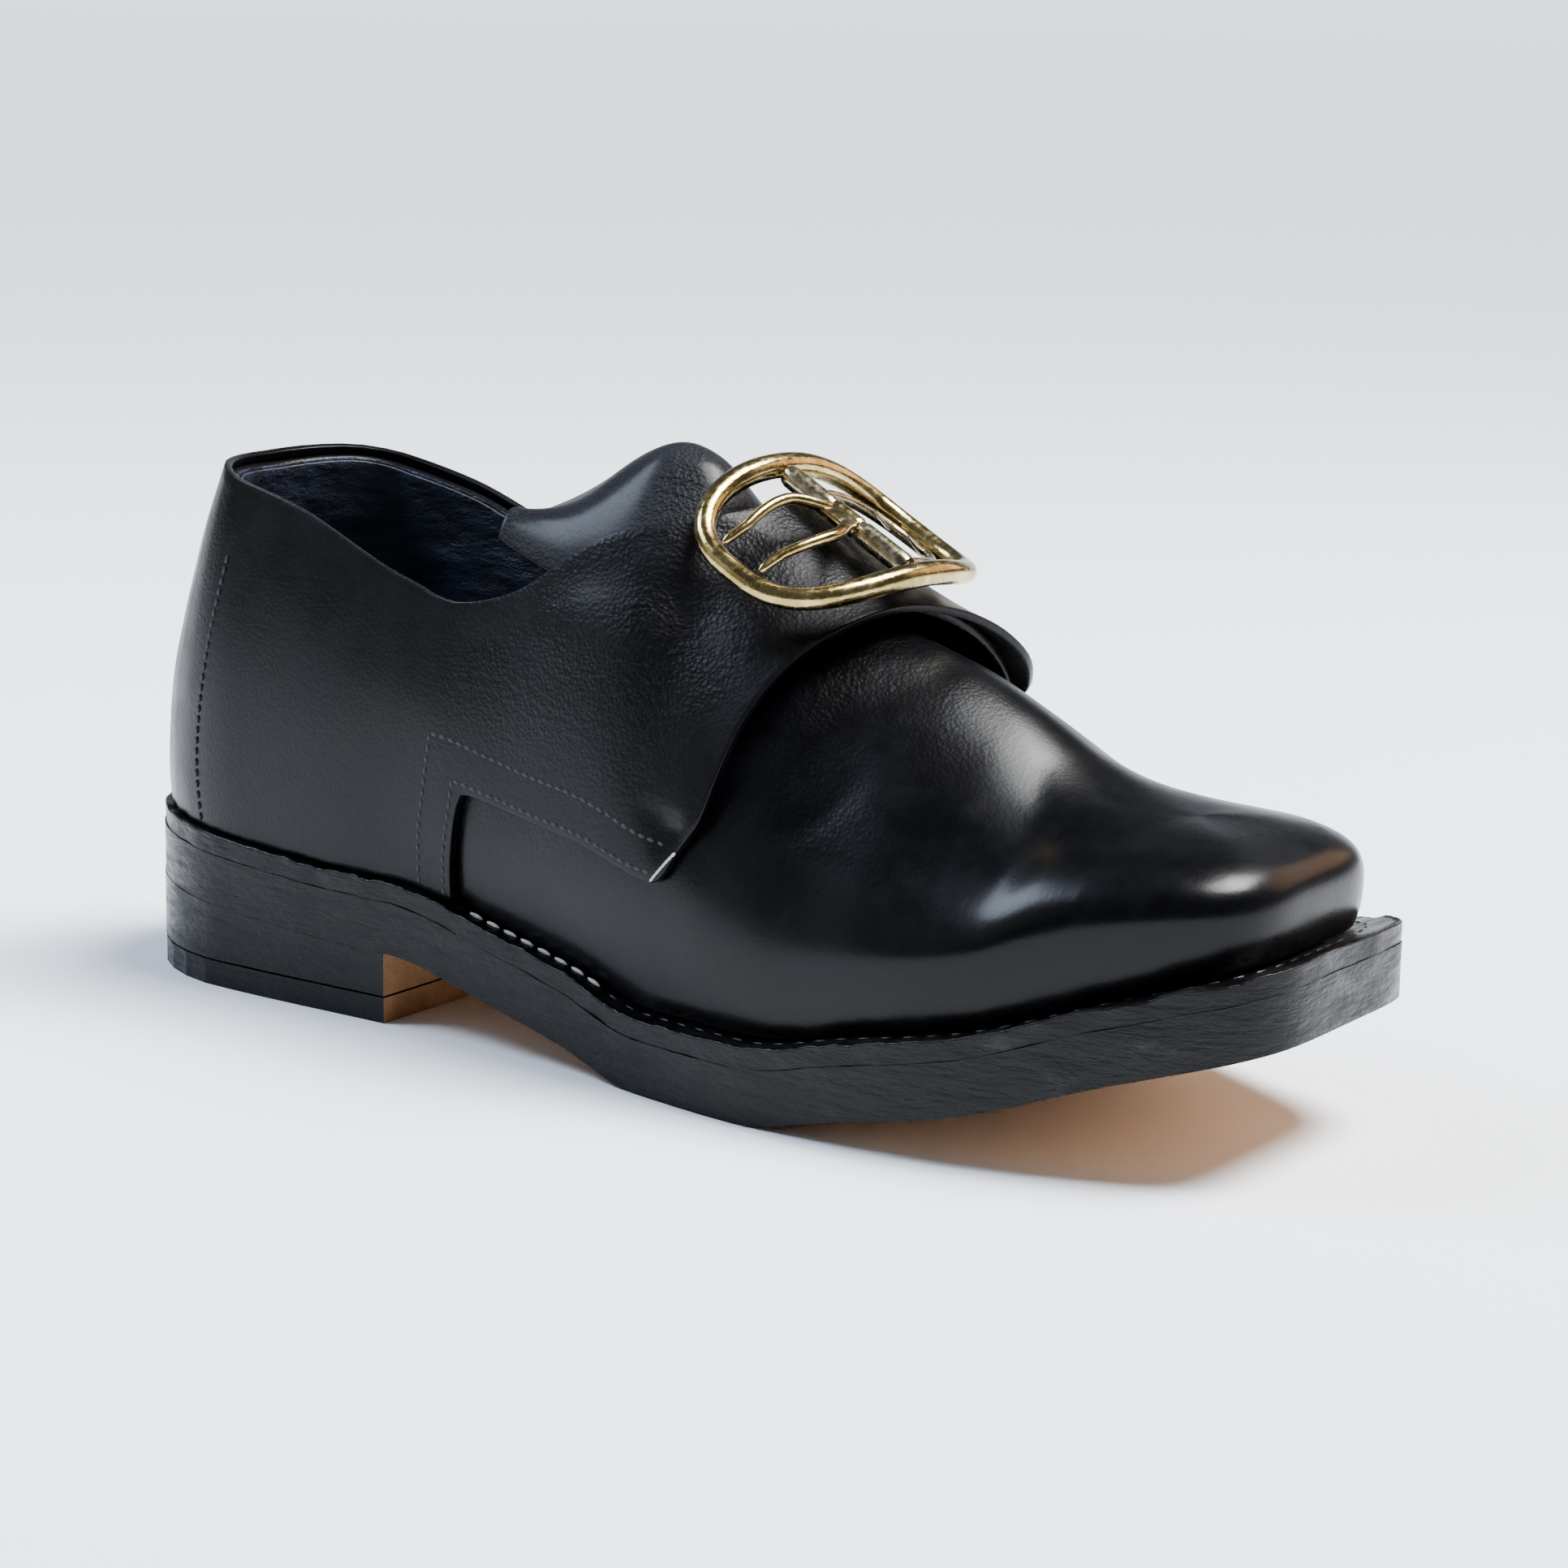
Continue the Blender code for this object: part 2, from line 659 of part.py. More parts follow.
def make_top_lift(collection, cutters):
    """The lowest lift, pierced for its nails."""
    mesh = sole_layer(
        "top_lift", lambda x: 0.0, lambda x: TOP_LIFT - CLEARANCE, heel_stations()
    )
    lift = add_object("top_lift", mesh, "sole_leather", collection)
    for index, place in enumerate(nail_places(), start=1):
        hole = bmesh.new()
        bmesh.ops.create_cone(
            hole,
            cap_ends=True,
            segments=12,
            radius1=NAIL_HEAD / 2 + CLEARANCE,
            radius2=NAIL_HEAD / 2 + CLEARANCE,
            depth=3 * TOP_LIFT,
            matrix=Matrix.Translation(place),
        )
        cutter = add_object(f"nail_hole_{index}", finish_mesh(hole, "nail_hole"), "steel", cutters)
        cutter.hide_render = True
        cutter.display_type = "WIRE"
        cut = lift.modifiers.new(f"nail_hole_{index}", "BOOLEAN")
        cut.object = cutter
        cut.operation = "DIFFERENCE"
        cut.solver = "EXACT"


def nail_places():
    return [centred((row.at * HEEL_LENGTH, row.across * BALL_WIDTH / 2, 0.0)) for row in NAIL_ROWS]


def make_nails(collection):
    """Heel nails: a round head level with the lift's underside and a shank above it."""
    for index, place in enumerate(nail_places(), start=1):
        nail = bmesh.new()
        bmesh.ops.create_cone(
            nail,
            cap_ends=True,
            segments=10,
            radius1=NAIL_HEAD / 2,
            radius2=NAIL_HEAD / 2,
            depth=NAIL_HEAD_THICKNESS,
        )
        bmesh.ops.translate(nail, verts=nail.verts, vec=(0, 0, NAIL_HEAD_THICKNESS / 2 + 0.1 * MM))
        top = max(nail.faces, key=lambda face: face.calc_center_median().z)
        inset = (NAIL_HEAD - NAIL_SHANK) / 2
        bmesh.ops.inset_region(nail, faces=[top], thickness=inset, use_even_offset=True)
        grown = bmesh.ops.extrude_face_region(nail, geom=[top])
        shank_top = [item for item in grown["geom"] if isinstance(item, bmesh.types.BMVert)]
        shank = TOP_LIFT - 2 * CLEARANCE - NAIL_HEAD_THICKNESS
        bmesh.ops.translate(nail, verts=shank_top, vec=(0, 0, shank))
        bmesh.ops.delete(nail, geom=[top], context="FACES")
        bmesh.ops.recalc_face_normals(nail, faces=nail.faces)
        piece = add_object(f"heel_nail_{index}", finish_mesh(nail, "heel_nail"), "steel", collection)
        piece.location = place


def make_insole(collection):
    """The insole, a plate inside the upper's wall."""
    low, high = [], []
    for station in stations():
        inner = off_last(station, 0.0, -(WALL + 3 * CLEARANCE))
        base = feather(inner.x)
        low.append((inner.x, abs(inner.y), base))
        girth = girth_at_height(station, base + INSOLE)
        inner = off_last(station, girth, -(WALL + 3 * CLEARANCE))
        high.append((inner.x, abs(inner.y), feather(inner.x) + INSOLE))
    add_object("insole", slab("insole", low, high), "lining", collection)


def inner_edge_girth(station):
    at = station / LENGTH
    return 1.0 if station >= THROAT - MM else INNER_EDGE["girth"](at)


def make_upper(collection):
    """Vamp and inner quarters as one hollow wall, open at collar, throat and underneath."""
    row = stations()
    rings = 10
    shares = [share**0.9 for share in spread(0.0, 1.0, rings)]

    def place(i, j):
        point = last_point(row[i], shares[j] * inner_edge_girth(row[i]))
        if j == rings and row[i] >= THROAT - MM or i in (0, len(row) - 1):
            point.y = 0.0
        return centred(point)

    grid, column, _ = mapped_grid(len(row) - 1, rings, place)
    face_the_heel(grid, column, 0)
    bmesh.ops.remove_doubles(grid, verts=grid.verts, dist=0.01 * MM)
    upper = add_object("upper", finish_mesh(grid, "upper"), "black_leather", collection, 60)
    mirror = upper.modifiers.new("far_side", "MIRROR")
    mirror.use_axis = (False, True, False)
    mirror.use_clip = True
    mirror.merge_threshold = 0.00005
    add_wall(upper, WALL, outward=False)


def quarter_ribs():
    """Ribs from the near strap's end, round the heel, to the far strap's end.

    Each is (side, low station, low girth, top station, top girth), in shares of the length,
    with side -1 on the near side and 1 on the far side.
    """
    collar = []
    for station in stations():
        at = station / LENGTH
        if at < COLLAR_ROWS[-1].at:
            collar.append((at, 0.010, COLLAR["top_at"](at), COLLAR["top_girth"](at)))
    near = [(-1, *row) for row in reversed(collar[1:] + NEAR_RIBS)]
    return near + [(1, *row) for row in collar + FAR_RIBS]


def quarter_point(rib, share):
    """A point of the quarters' inner side, on a rib, at a share of its way to the top."""
    side, low_at, low_girth, top_at, top_girth = rib
    station = mix(low_at, top_at, share) * LENGTH
    girth = mix(low_girth, top_girth, share)
    lift = near_lift(station, girth) if side < 0 else far_lift(station, girth)
    point = off_last(station, girth, QUARTER_GAP + lift)
    if station < 0.01 * MM:
        point.y = 0.0
    return point if side < 0 else Vector((point.x, -point.y, point.z))


def make_quarters(collection):
    """Both quarters and their latchets in one strip, laid over the upper's wall."""
    ribs = quarter_ribs()
    rings = 7
    grid, column, _ = mapped_grid(
        len(ribs) - 1, rings, lambda i, j: centred(quarter_point(ribs[i], j / rings))
    )
    face_the_heel(grid, column, next(i for i, rib in enumerate(ribs) if rib[1] == 0.0))
    quarters = add_object("quarters", finish_mesh(grid, "quarters"), "black_leather", collection, 60)
    add_wall(quarters, QUARTER_WALL, outward=True)


def tongue_point(at, share):
    """A point of the tongue's outer side; share runs from -1, the near edge, to 1."""
    girth = mix(1.0, TONGUE["girth"](at), abs(share))
    throat = min(max(inner_edge_girth(at * LENGTH) + 0.08, TONGUE["girth"](at)), 0.97)
    point = off_last(at * LENGTH, girth, TONGUE["edge"](at) * TONGUE_RISE)
    point.z += TONGUE["raised"](at) * TONGUE_RISE * ease(throat, mix(throat, 1.0, 0.8), girth)
    point.y = math.copysign(point.y, share) if share else 0.0
    return point


def make_tongue(collection):
    """The tongue, from under the vamp to its free end behind the latchets."""
    places = spread(TONGUE_ROWS[0].at, TONGUE_ROWS[-1].at, 12)
    across = 12
    grid, _, _ = mapped_grid(
        len(places) - 1,
        across,
        lambda i, j: centred(tongue_point(places[i], 2 * j / across - 1)),
    )
    grid.normal_update()
    if sum(face.normal.z for face in grid.faces) < 0:
        bmesh.ops.reverse_faces(grid, faces=grid.faces)
    tongue = add_object("tongue", finish_mesh(grid, "tongue"), "pebbled_leather", collection, 60)
    add_wall(tongue, TONGUE_WALL, outward=False)


def buckle_matrix():
    """Where the buckle lies on the instep, from the last's ridge under both its long sides."""
    back, front = (
        last_point(BUCKLE_AT * LENGTH + side * BUCKLE_SHORT / 2, 1.0) for side in (-1, 1)
    )
    slope = math.atan2(back.z - front.z, front.x - back.x)
    centre = (back + front) / 2 + Vector((0.0, 0.0, BUCKLE_STAND))
    turn = (
        Matrix.Rotation(BUCKLE_YAW, 4, "Z")
        @ Matrix.Rotation(slope + BUCKLE_TILT, 4, "Y")
        @ Matrix.Rotation(BUCKLE_ROLL, 4, "X")
    )
    return Matrix.Translation(centred(centre)) @ turn


def arch(y):
    """Drop of the buckle's arch at a distance across it."""
    return -BUCKLE_SAG * (y / (BUCKLE_LONG / 2))**2


def wire(name, points, radii, cyclic=False, resolution=2):
    """A round wire through points, with a radius at each, as a closed mesh."""
    data = bpy.data.curves.new(name, "CURVE")
    data.dimensions = "3D"
    data.bevel_depth = 1.0
    data.bevel_resolution = resolution
    data.use_fill_caps = not cyclic
    spline = data.splines.new("POLY")
    spline.points.add(len(points) - 1)
    spline.use_cyclic_u = cyclic
    for slot, point, radius in zip(spline.points, points, radii):
        slot.co = (*point, 1)
        slot.radius = radius
    guide = bpy.data.objects.new(name, data)
    bpy.context.scene.collection.objects.link(guide)
    graph = bpy.context.evaluated_depsgraph_get()
    mesh = bpy.data.meshes.new_from_object(guide.evaluated_get(graph))
    bpy.data.objects.remove(guide)
    bpy.data.curves.remove(data)
    welded = bmesh.new()
    welded.from_mesh(mesh)
    bmesh.ops.remove_doubles(welded, verts=welded.verts, dist=0.01 * MM)
    bmesh.ops.recalc_face_normals(welded, faces=welded.faces)
    welded.to_mesh(mesh)
    welded.free()
    return mesh


def place_on_instep(piece):
    piece.matrix_world = buckle_matrix()
    return piece


def frame_point(turn):
    """The buckle frame's centre line, at a turn from the toe side."""
    x = math.copysign(abs(math.cos(turn))**(2 / BUCKLE_CORNER), math.cos(turn)) * BUCKLE_SHORT / 2
    y = math.copysign(abs(math.sin(turn))**(2 / BUCKLE_CORNER), math.sin(turn)) * BUCKLE_LONG / 2
    return x, y, arch(y)


def make_buckle_frame(collection):
    """A rounded frame, arched over the instep, thicker at the middle of its long sides."""
    turns = [2 * math.pi * i / 48 for i in range(48)]
    radii = [BUCKLE_WIRE / 2 * (1 + 0.22 * math.cos(turn)**4) for turn in turns]
    mesh = wire("buckle_frame", [frame_point(turn) for turn in turns], radii, cyclic=True)
    place_on_instep(add_object("buckle_frame", mesh, "brass", collection, 60))


def spindle_half():
    """Half the spindle's length, up to the frame's inner sides."""
    return BUCKLE_SHORT / 2 - 1.22 * BUCKLE_WIRE / 2 - CLEARANCE


def make_spindle(collection):
    half = spindle_half()
    radius = SPINDLE_WIRE / 2
    ends = [(-half, 0, -SPINDLE_DROP), (half, 0, -SPINDLE_DROP)]
    mesh = wire("buckle_spindle", ends, [radius, radius], resolution=2)
    place_on_instep(add_object("buckle_spindle", mesh, "steel", collection, 60))


def knuckle_radius():
    return SPINDLE_WIRE / 2 + CLEARANCE + KNUCKLE_WALL


def joined(name, body, extras, finish, collection, cutters, bore):
    """Joins closed meshes by unions, then clears the spindle's bore through them."""
    piece = add_object(name, body, finish, collection, 40)
    for index, extra in enumerate(extras + [bore], start=1):
        tool = add_object(f"{name}_form_{index}", extra, finish, cutters)
        tool.hide_render = True
        tool.display_type = "WIRE"
        place_on_instep(tool)
        step = piece.modifiers.new(f"form_{index}", "BOOLEAN")
        step.object = tool
        step.operation = "DIFFERENCE" if extra is bore else "UNION"
        step.solver = "EXACT"
    place_on_instep(piece)


def tube_along_spindle(name, low, high, radius):
    ends = [(low, 0, -SPINDLE_DROP), (high, 0, -SPINDLE_DROP)]
    return wire(name, ends, [radius, radius], resolution=2)


def plate(name, low, high):
    """A flat block between two corners."""
    block = bmesh.new()
    bmesh.ops.create_cube(block, size=1.0)
    size = [b - a for a, b in zip(low, high)]
    middle = [(a + b) / 2 for a, b in zip(low, high)]
    bmesh.ops.scale(block, vec=size, verts=block.verts)
    bmesh.ops.translate(block, vec=middle, verts=block.verts)
    return finish_mesh(block, name)


def make_fork(collection, cutters):
    """The two-pronged tongue, from its knuckle to the frame's near end."""
    radius = knuckle_radius()
    half = FORK_KNUCKLE / 2
    tip_y = -(BUCKLE_LONG / 2 - PRONG_SHORT_OF_FRAME)
    tip_z = arch(tip_y) + BUCKLE_WIRE / 2 + FORK_WIRE / 2 + CLEARANCE
    prongs = []
    for side in (-1, 1):
        path, radii = [], []
        for step in spread(0.0, 1.0, 10):
            y = mix(-PRONG_START, tip_y, step)
            bow = math.sin(math.pi * min(step * 1.25, 1.0)) * PRONG_BOW
            x = side * (mix(0.30, 0.5, ease(0.0, 0.35, step)) * FORK_SPREAD + bow)
            crown = math.sin(math.pi * step) * PRONG_CROWN
            z = mix(radius - FORK_WIRE / 2 - SPINDLE_DROP, tip_z, step**1.6) + crown
            path.append((x, y, z))
            radii.append(FORK_WIRE / 2 * (1 - 0.25 * step))
        prongs.append(wire("prong", path, radii, resolution=1))
    neck_top = radius - SPINDLE_DROP - EAR_INSET * 2
    neck = plate(
        "fork_neck",
        (-half, -FORK_NECK, neck_top - FORK_NECK_THICKNESS),
        (half, 0.0, neck_top),
    )
    bore = tube_along_spindle("fork_bore", -2 * half, 2 * half, SPINDLE_WIRE / 2 + CLEARANCE)
    body = tube_along_spindle("buckle_fork", -half, half, radius)
    joined("buckle_fork", body, [neck, *prongs], "brass", collection, cutters, bore)


def make_chape(collection, cutters):
    """The chape: two knuckles on the spindle, a slotted plate and a loop with two teeth."""
    radius = knuckle_radius()
    inner = FORK_KNUCKLE / 2 + CLEARANCE
    outer = spindle_half() - CLEARANCE
    wire_radius = CHAPE_WIRE / 2

    def level(y):
        return arch(y) - CHAPE_DROP * ease(0.0, CHAPE_DROP_WITHIN, y)

    half = CHAPE_WIDTH / 2
    loop, radii = [], []
    for step in spread(0.0, 1.0, 20):
        turn = math.pi * (1.12 - 1.24 * step)
        x = half * math.cos(turn)
        y = CHAPE_CENTRE + (CHAPE_REACH - CHAPE_CENTRE) * max(math.sin(turn), -0.5)
        loop.append((x, y, level(y)))
        radii.append(wire_radius)
    body = wire("buckle_chape", loop, radii, resolution=1)
    bar_low = level(CHAPE_BAR_AT) - CHAPE_BAR_THICKNESS / 2
    bar_side = CHAPE_BAR_WIDTH / 2
    forms = [
        plate(
            "chape_bar",
            (-outer, CHAPE_BAR_AT - bar_side, bar_low),
            (outer, CHAPE_BAR_AT + bar_side, bar_low + CHAPE_BAR_THICKNESS),
        )
    ]
    for side in (-1, 1):
        near_end, far_end = sorted((side * inner, side * outer))
        forms.append(tube_along_spindle("chape_knuckle", near_end, far_end, radius))
        forms.append(
            plate(
                "chape_ear",
                (near_end + EAR_INSET, EAR_START, -SPINDLE_DROP - radius + 3 * EAR_INSET),
                (far_end - EAR_INSET, EAR_START + EAR_LENGTH, -SPINDLE_DROP + 2 * EAR_INSET),
            )
        )
        tooth = []
        for step in spread(0.0, 1.0, 4):
            y = CHAPE_REACH - step * TOOTH_LENGTH
            tooth.append((side * TOOTH_SPREAD / 2, y, level(y) + TOOTH_RISE * step**2))
        forms.append(
            wire("tooth", tooth, [wire_radius * (0.85 - 0.12 * k) for k in range(5)], resolution=1)
        )
    bore = tube_along_spindle("chape_bore", -2 * outer, 2 * outer, SPINDLE_WIRE / 2 + CLEARANCE)
    joined("buckle_chape", body, forms, "brass", collection, cutters, bore)


def clear_scene():
    for item in list(bpy.data.objects):
        bpy.data.objects.remove(item, do_unlink=True)


def new_collection(name):
    collection = bpy.data.collections.new(name)
    bpy.context.scene.collection.children.link(collection)
    return collection


def main():
    clear_scene()
    shoe = new_collection("buckle_shoe")
    cutters = new_collection("buckle_shoe_cutters")
    make_outsole(shoe)
    make_welt(shoe)
    make_heel(shoe)
    make_top_lift(shoe, cutters)
    make_nails(shoe)
    make_insole(shoe)
    make_upper(shoe)
    make_quarters(shoe)
    make_tongue(shoe)
    make_buckle_frame(shoe)
    make_spindle(shoe)
    make_fork(shoe, cutters)
    make_chape(shoe, cutters)
    bpy.context.view_layer.update()


main()
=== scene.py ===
"""Looks of a black latchet shoe with an arched brass buckle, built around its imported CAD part."""

import logging
import math
from bisect import bisect_right
from dataclasses import dataclass, field
from enum import Enum
from functools import lru_cache
from typing import Callable, Sequence

import bmesh
import bpy
from mathutils import Matrix, Vector, noise

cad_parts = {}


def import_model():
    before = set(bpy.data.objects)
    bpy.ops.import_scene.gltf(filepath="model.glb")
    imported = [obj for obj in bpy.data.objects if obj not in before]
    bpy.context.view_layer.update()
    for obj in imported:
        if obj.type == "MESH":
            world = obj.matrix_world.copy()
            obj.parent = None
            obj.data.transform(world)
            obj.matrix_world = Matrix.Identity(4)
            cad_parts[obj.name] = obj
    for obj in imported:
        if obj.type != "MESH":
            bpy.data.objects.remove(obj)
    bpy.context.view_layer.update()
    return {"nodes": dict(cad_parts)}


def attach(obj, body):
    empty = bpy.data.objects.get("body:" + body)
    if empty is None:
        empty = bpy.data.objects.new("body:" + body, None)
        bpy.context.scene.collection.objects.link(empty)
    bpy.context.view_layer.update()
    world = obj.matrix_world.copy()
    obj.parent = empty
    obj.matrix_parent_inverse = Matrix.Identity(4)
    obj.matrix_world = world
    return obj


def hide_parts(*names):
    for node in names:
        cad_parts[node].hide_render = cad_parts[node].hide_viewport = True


LOG = logging.getLogger("shoe")
MM = 0.001
BODY = "root"
LENGTH = 0.300
HALF_WIDTH = 0.0541
THROAT = 0.166

SOFT_EDGE = 60.0

Rib = tuple[float, float, float, float]
Rgb = tuple[float, float, float]
Placer = Callable[[int, int], Vector]


class Side(Enum):
    """The two sides of the shoe. The camera looks at the near one."""

    NEAR = -1
    FAR = 1


class Slot(Enum):
    """Names of material slots."""

    BLACK = "black_leather"
    PEBBLED = "pebbled_leather"
    SOLE = "sole_leather"
    EDGE = "edge_black"
    LINING = "lining"
    BRASS = "brass"
    STEEL = "steel"


def mix(a: float, b: float, share: float) -> float:
    """Returns the value a share of the way from a to b."""
    return a + (b - a) * share


def ease(a: float, b: float, value: float) -> float:
    """Returns a smooth step from 0 at a to 1 at b."""
    t = min(max((value - a) / (b - a), 0.0), 1.0)
    return t * t * (3 - 2 * t)


def spread(low: float, high: float, count: int) -> list[float]:
    """Returns count + 1 even values from low to high."""
    return [low + (high - low) * i / count for i in range(count + 1)]


def bezier(points: Sequence[float], t: float) -> float:
    """Returns a Bezier curve's value for three or four control values.

    Args:
        points: three or four control values.
        t: share of the way, 0 to 1.

    Returns:
        The curve's value.
    """
    if len(points) == 3:
        a, b, c = points
        return (1 - t) ** 2 * a + 2 * t * (1 - t) * b + t * t * c
    a, b, c, d = points
    return (1 - t) ** 3 * a + 3 * t * (1 - t) ** 2 * b + 3 * t * t * (1 - t) * c + t**3 * d


class Curve:
    """A monotone cubic through a table's column."""

    def __init__(self, at: Sequence[float], values: Sequence[float]) -> None:
        """Finds the slopes.

        Args:
            at: rising positions.
            values: the value at each position.
        """
        self.at = list(at)
        self.values = list(values)
        steps = [b - a for a, b in zip(self.at, self.at[1:])]
        rises = [(b - a) / step for a, b, step in zip(values, values[1:], steps)]
        self.slopes = [rises[0]] + [0.0] * (len(rises) - 1) + [rises[-1]]
        for i in range(1, len(rises)):
            if rises[i - 1] * rises[i] > 0:
                before, after = 2 * steps[i] + steps[i - 1], steps[i] + 2 * steps[i - 1]
                blend = before / rises[i - 1] + after / rises[i]
                self.slopes[i] = (before + after) / blend

    def __call__(self, position: float) -> float:
        """Returns the curve's value at a position, held at both ends.

        Args:
            position: where the curve is read.

        Returns:
            The value there.
        """
        position = min(max(position, self.at[0]), self.at[-1])
        i = min(max(bisect_right(self.at, position) - 1, 0), len(self.at) - 2)
        step = self.at[i + 1] - self.at[i]
        u = (position - self.at[i]) / step
        rise = 3 * u * u - 2 * u**3
        bend = (u**3 - 2 * u * u + u) * self.slopes[i] + (u**3 - u * u) * self.slopes[i + 1]
        return (1 - rise) * self.values[i] + rise * self.values[i + 1] + bend * step


def table(rows: Sequence[Sequence[float]]) -> list[Curve]:
    """Returns one curve for each column after the first, which is the position."""
    at, *columns = zip(*rows)
    return [Curve(at, column) for column in columns]


class Last:
    """The straight last, as in the part's source: station along the shoe, girth around it."""

    heel_centre = 0.041
    toe_centre = 0.262
    toe_depth = 0.031
    toe_belly_rise = 0.0085
    toe_top_drop = 0.0025
    taper = 0.27
    sole_corner = 5.2
    upper_corner = 4.0
    instep_rise = 0.0947
    collar_rise = 0.0778
    belly_girth = 0.22
    outsole = 0.0115
    welt = 0.0045
    clearance = 0.0003
    heel_rear = 0.0218
    heel_breast = 0.0157
    toe_spring = 0.0278

    def __init__(self) -> None:
        """Makes the tables' curves."""
        self.pitch, self.waist, self.spring = table([
            (0.000, 1.0, 1.00, 0.000), (0.290, 0.0, 1.00, 0.000), (0.383, 0.0, 0.67, 0.000),
            (0.467, 0.0, 0.33, 0.000), (0.540, 0.0, 0.00, 0.000), (0.633, 0.0, 0.00, 0.000),
            (0.717, 0.0, 0.00, 0.176), (0.800, 0.0, 0.00, 0.350), (0.900, 0.0, 0.00, 0.700),
            (1.000, 0.0, 0.00, 1.000),
        ])
        (self.plan,) = table([
            (0.137, 0.684), (0.180, 0.695), (0.300, 0.708), (0.350, 0.725), (0.400, 0.760),
            (0.450, 0.795), (0.500, 0.847), (0.550, 0.906), (0.600, 0.961), (0.650, 0.993),
            (0.700, 1.000), (0.750, 0.991), (0.800, 0.956), (0.850, 0.896), (0.873, 0.861),
        ])
        self.sections = table([
            (0.137, 0.606, 0.628, 0.222, 1.257, 0.55, 0.55),
            (0.200, 0.616, 0.643, 0.232, 1.257, 0.55, 0.55),
            (0.300, 0.621, 0.658, 0.232, 1.151, 0.55, 0.55),
            (0.350, 0.632, 0.677, 0.243, 1.130, 0.55, 0.55),
            (0.400, 0.658, 0.706, 0.232, 1.120, 0.53, 0.53),
            (0.450, 0.693, 0.750, 0.216, 1.130, 0.51, 0.51),
            (0.500, 0.739, 0.795, 0.211, 1.115, 0.50, 0.50),
            (0.553, 0.795, 0.847, 0.197, 1.018, 0.46, 0.46),
            (0.600, 0.836, 0.884, 0.180, 0.919, 0.43, 0.43),
            (0.650, 0.860, 0.902, 0.164, 0.816, 0.40, 0.40),
            (0.700, 0.867, 0.904, 0.154, 0.724, 0.35, 0.36),
            (0.750, 0.856, 0.893, 0.150, 0.615, 0.32, 0.33),
            (0.800, 0.823, 0.861, 0.154, 0.490, 0.36, 0.34),
            (0.840, 0.776, 0.817, 0.162, 0.398, 0.52, 0.50),
            (0.873, 0.732, 0.773, 0.160, 0.334, 0.62, 0.62),
        ])
        (self.back,) = table([
            (0.00, 0.105), (0.10, 0.090), (0.26, 0.115), (0.40, 0.161), (0.55, 0.246),
            (0.71, 0.337), (0.86, 0.424), (1.00, 0.530), (1.30, 0.730),
        ])
        (self.inner_edge,) = table([
            (0.000, 0.532), (0.067, 0.536), (0.137, 0.522), (0.183, 0.507), (0.225, 0.489),
            (0.265, 0.476), (0.300, 0.466), (0.340, 0.463), (0.385, 0.485), (0.420, 0.540),
            (0.460, 0.640), (0.500, 0.745), (0.530, 0.850), (THROAT / LENGTH, 1.000),
        ])
        self.row = lru_cache(maxsize=4096)(self.row_at)

    def sole_bottom(self, x: float) -> float:
        """Returns the height of the outsole's underside.

        Args:
            x: distance from the heel's back.

        Returns:
            The height over the ground.
        """
        at = x / LENGTH
        pitch = self.pitch(at) * (self.heel_rear - self.heel_breast)
        return pitch + self.waist(at) * self.heel_breast + self.spring(at) * self.toe_spring

    def sole_top(self, x: float) -> float:
        """Returns the height of the welt's top."""
        return self.sole_bottom(x) + self.outsole + self.welt

    def sole_edge(self, station: float) -> tuple[float, float]:
        """Returns the distance along the shoe and the half width of the sole's outline.

        Args:
            station: place along the shoe; it runs round the heel's back and the toe's front.

        Returns:
            The distance and the half width.
        """
        if station < self.heel_centre:
            turn = (1 - station / self.heel_centre) * math.pi / 2
            width = self.plan(self.heel_centre / LENGTH) * HALF_WIDTH
            return self.heel_centre * (1 - math.sin(turn)), width * math.cos(turn)
        if station > self.toe_centre:
            forward, sideways = self.toe_turn(station, self.sole_corner)
            width = self.plan(self.toe_centre / LENGTH) * HALF_WIDTH
            x = self.toe_centre + (LENGTH - self.toe_centre) * forward
            return x, width * sideways * (1 - self.taper * forward)
        return station, self.plan(station / LENGTH) * HALF_WIDTH

    def toe_turn(self, station: float, corner: float) -> tuple[float, float]:
        """Returns the forward and sideways shares of the squared toe at a station."""
        turn = min((station - self.toe_centre) / (LENGTH - self.toe_centre), 1.0) * math.pi / 2
        return math.sin(turn) ** (2 / corner), max(math.cos(turn), 0.0) ** (2 / corner)

    def row_at(self, station: float) -> tuple[float, ...]:
        """Returns foot, belly, base, belly height, ridge height, side and top of a section.

        Args:
            station: place along the shoe.

        Returns:
            Seven numbers, in that order.
        """
        at = station / LENGTH
        foot, belly, rise, ridge, side, top = (curve(at) for curve in self.sections)
        base = self.sole_top(station) + self.clearance
        return (
            foot * HALF_WIDTH,
            belly * HALF_WIDTH,
            base,
            base + rise * self.instep_rise,
            base + ridge * self.instep_rise,
            side,
            top,
        )

    def section(self, station: float, girth: float) -> tuple[float, float]:
        """Returns the half width and height of the last at a girth share.

        Args:
            station: place along the shoe.
            girth: 0 at the feather, 1 at the ridge.

        Returns:
            The half width and the height.
        """
        foot, belly, base, middle, ridge, side, top = self.row(station)
        if girth < self.belly_girth:
            t = girth / self.belly_girth
            rise = (base, mix(base, middle, 0.35), middle)
            return bezier((foot, belly, belly), t), bezier(rise, t)
        t = (girth - self.belly_girth) / (1 - self.belly_girth)
        rise = (middle, mix(middle, ridge, side), ridge, ridge)
        return bezier((belly, belly, top * belly, 0.0), t), bezier(rise, t)

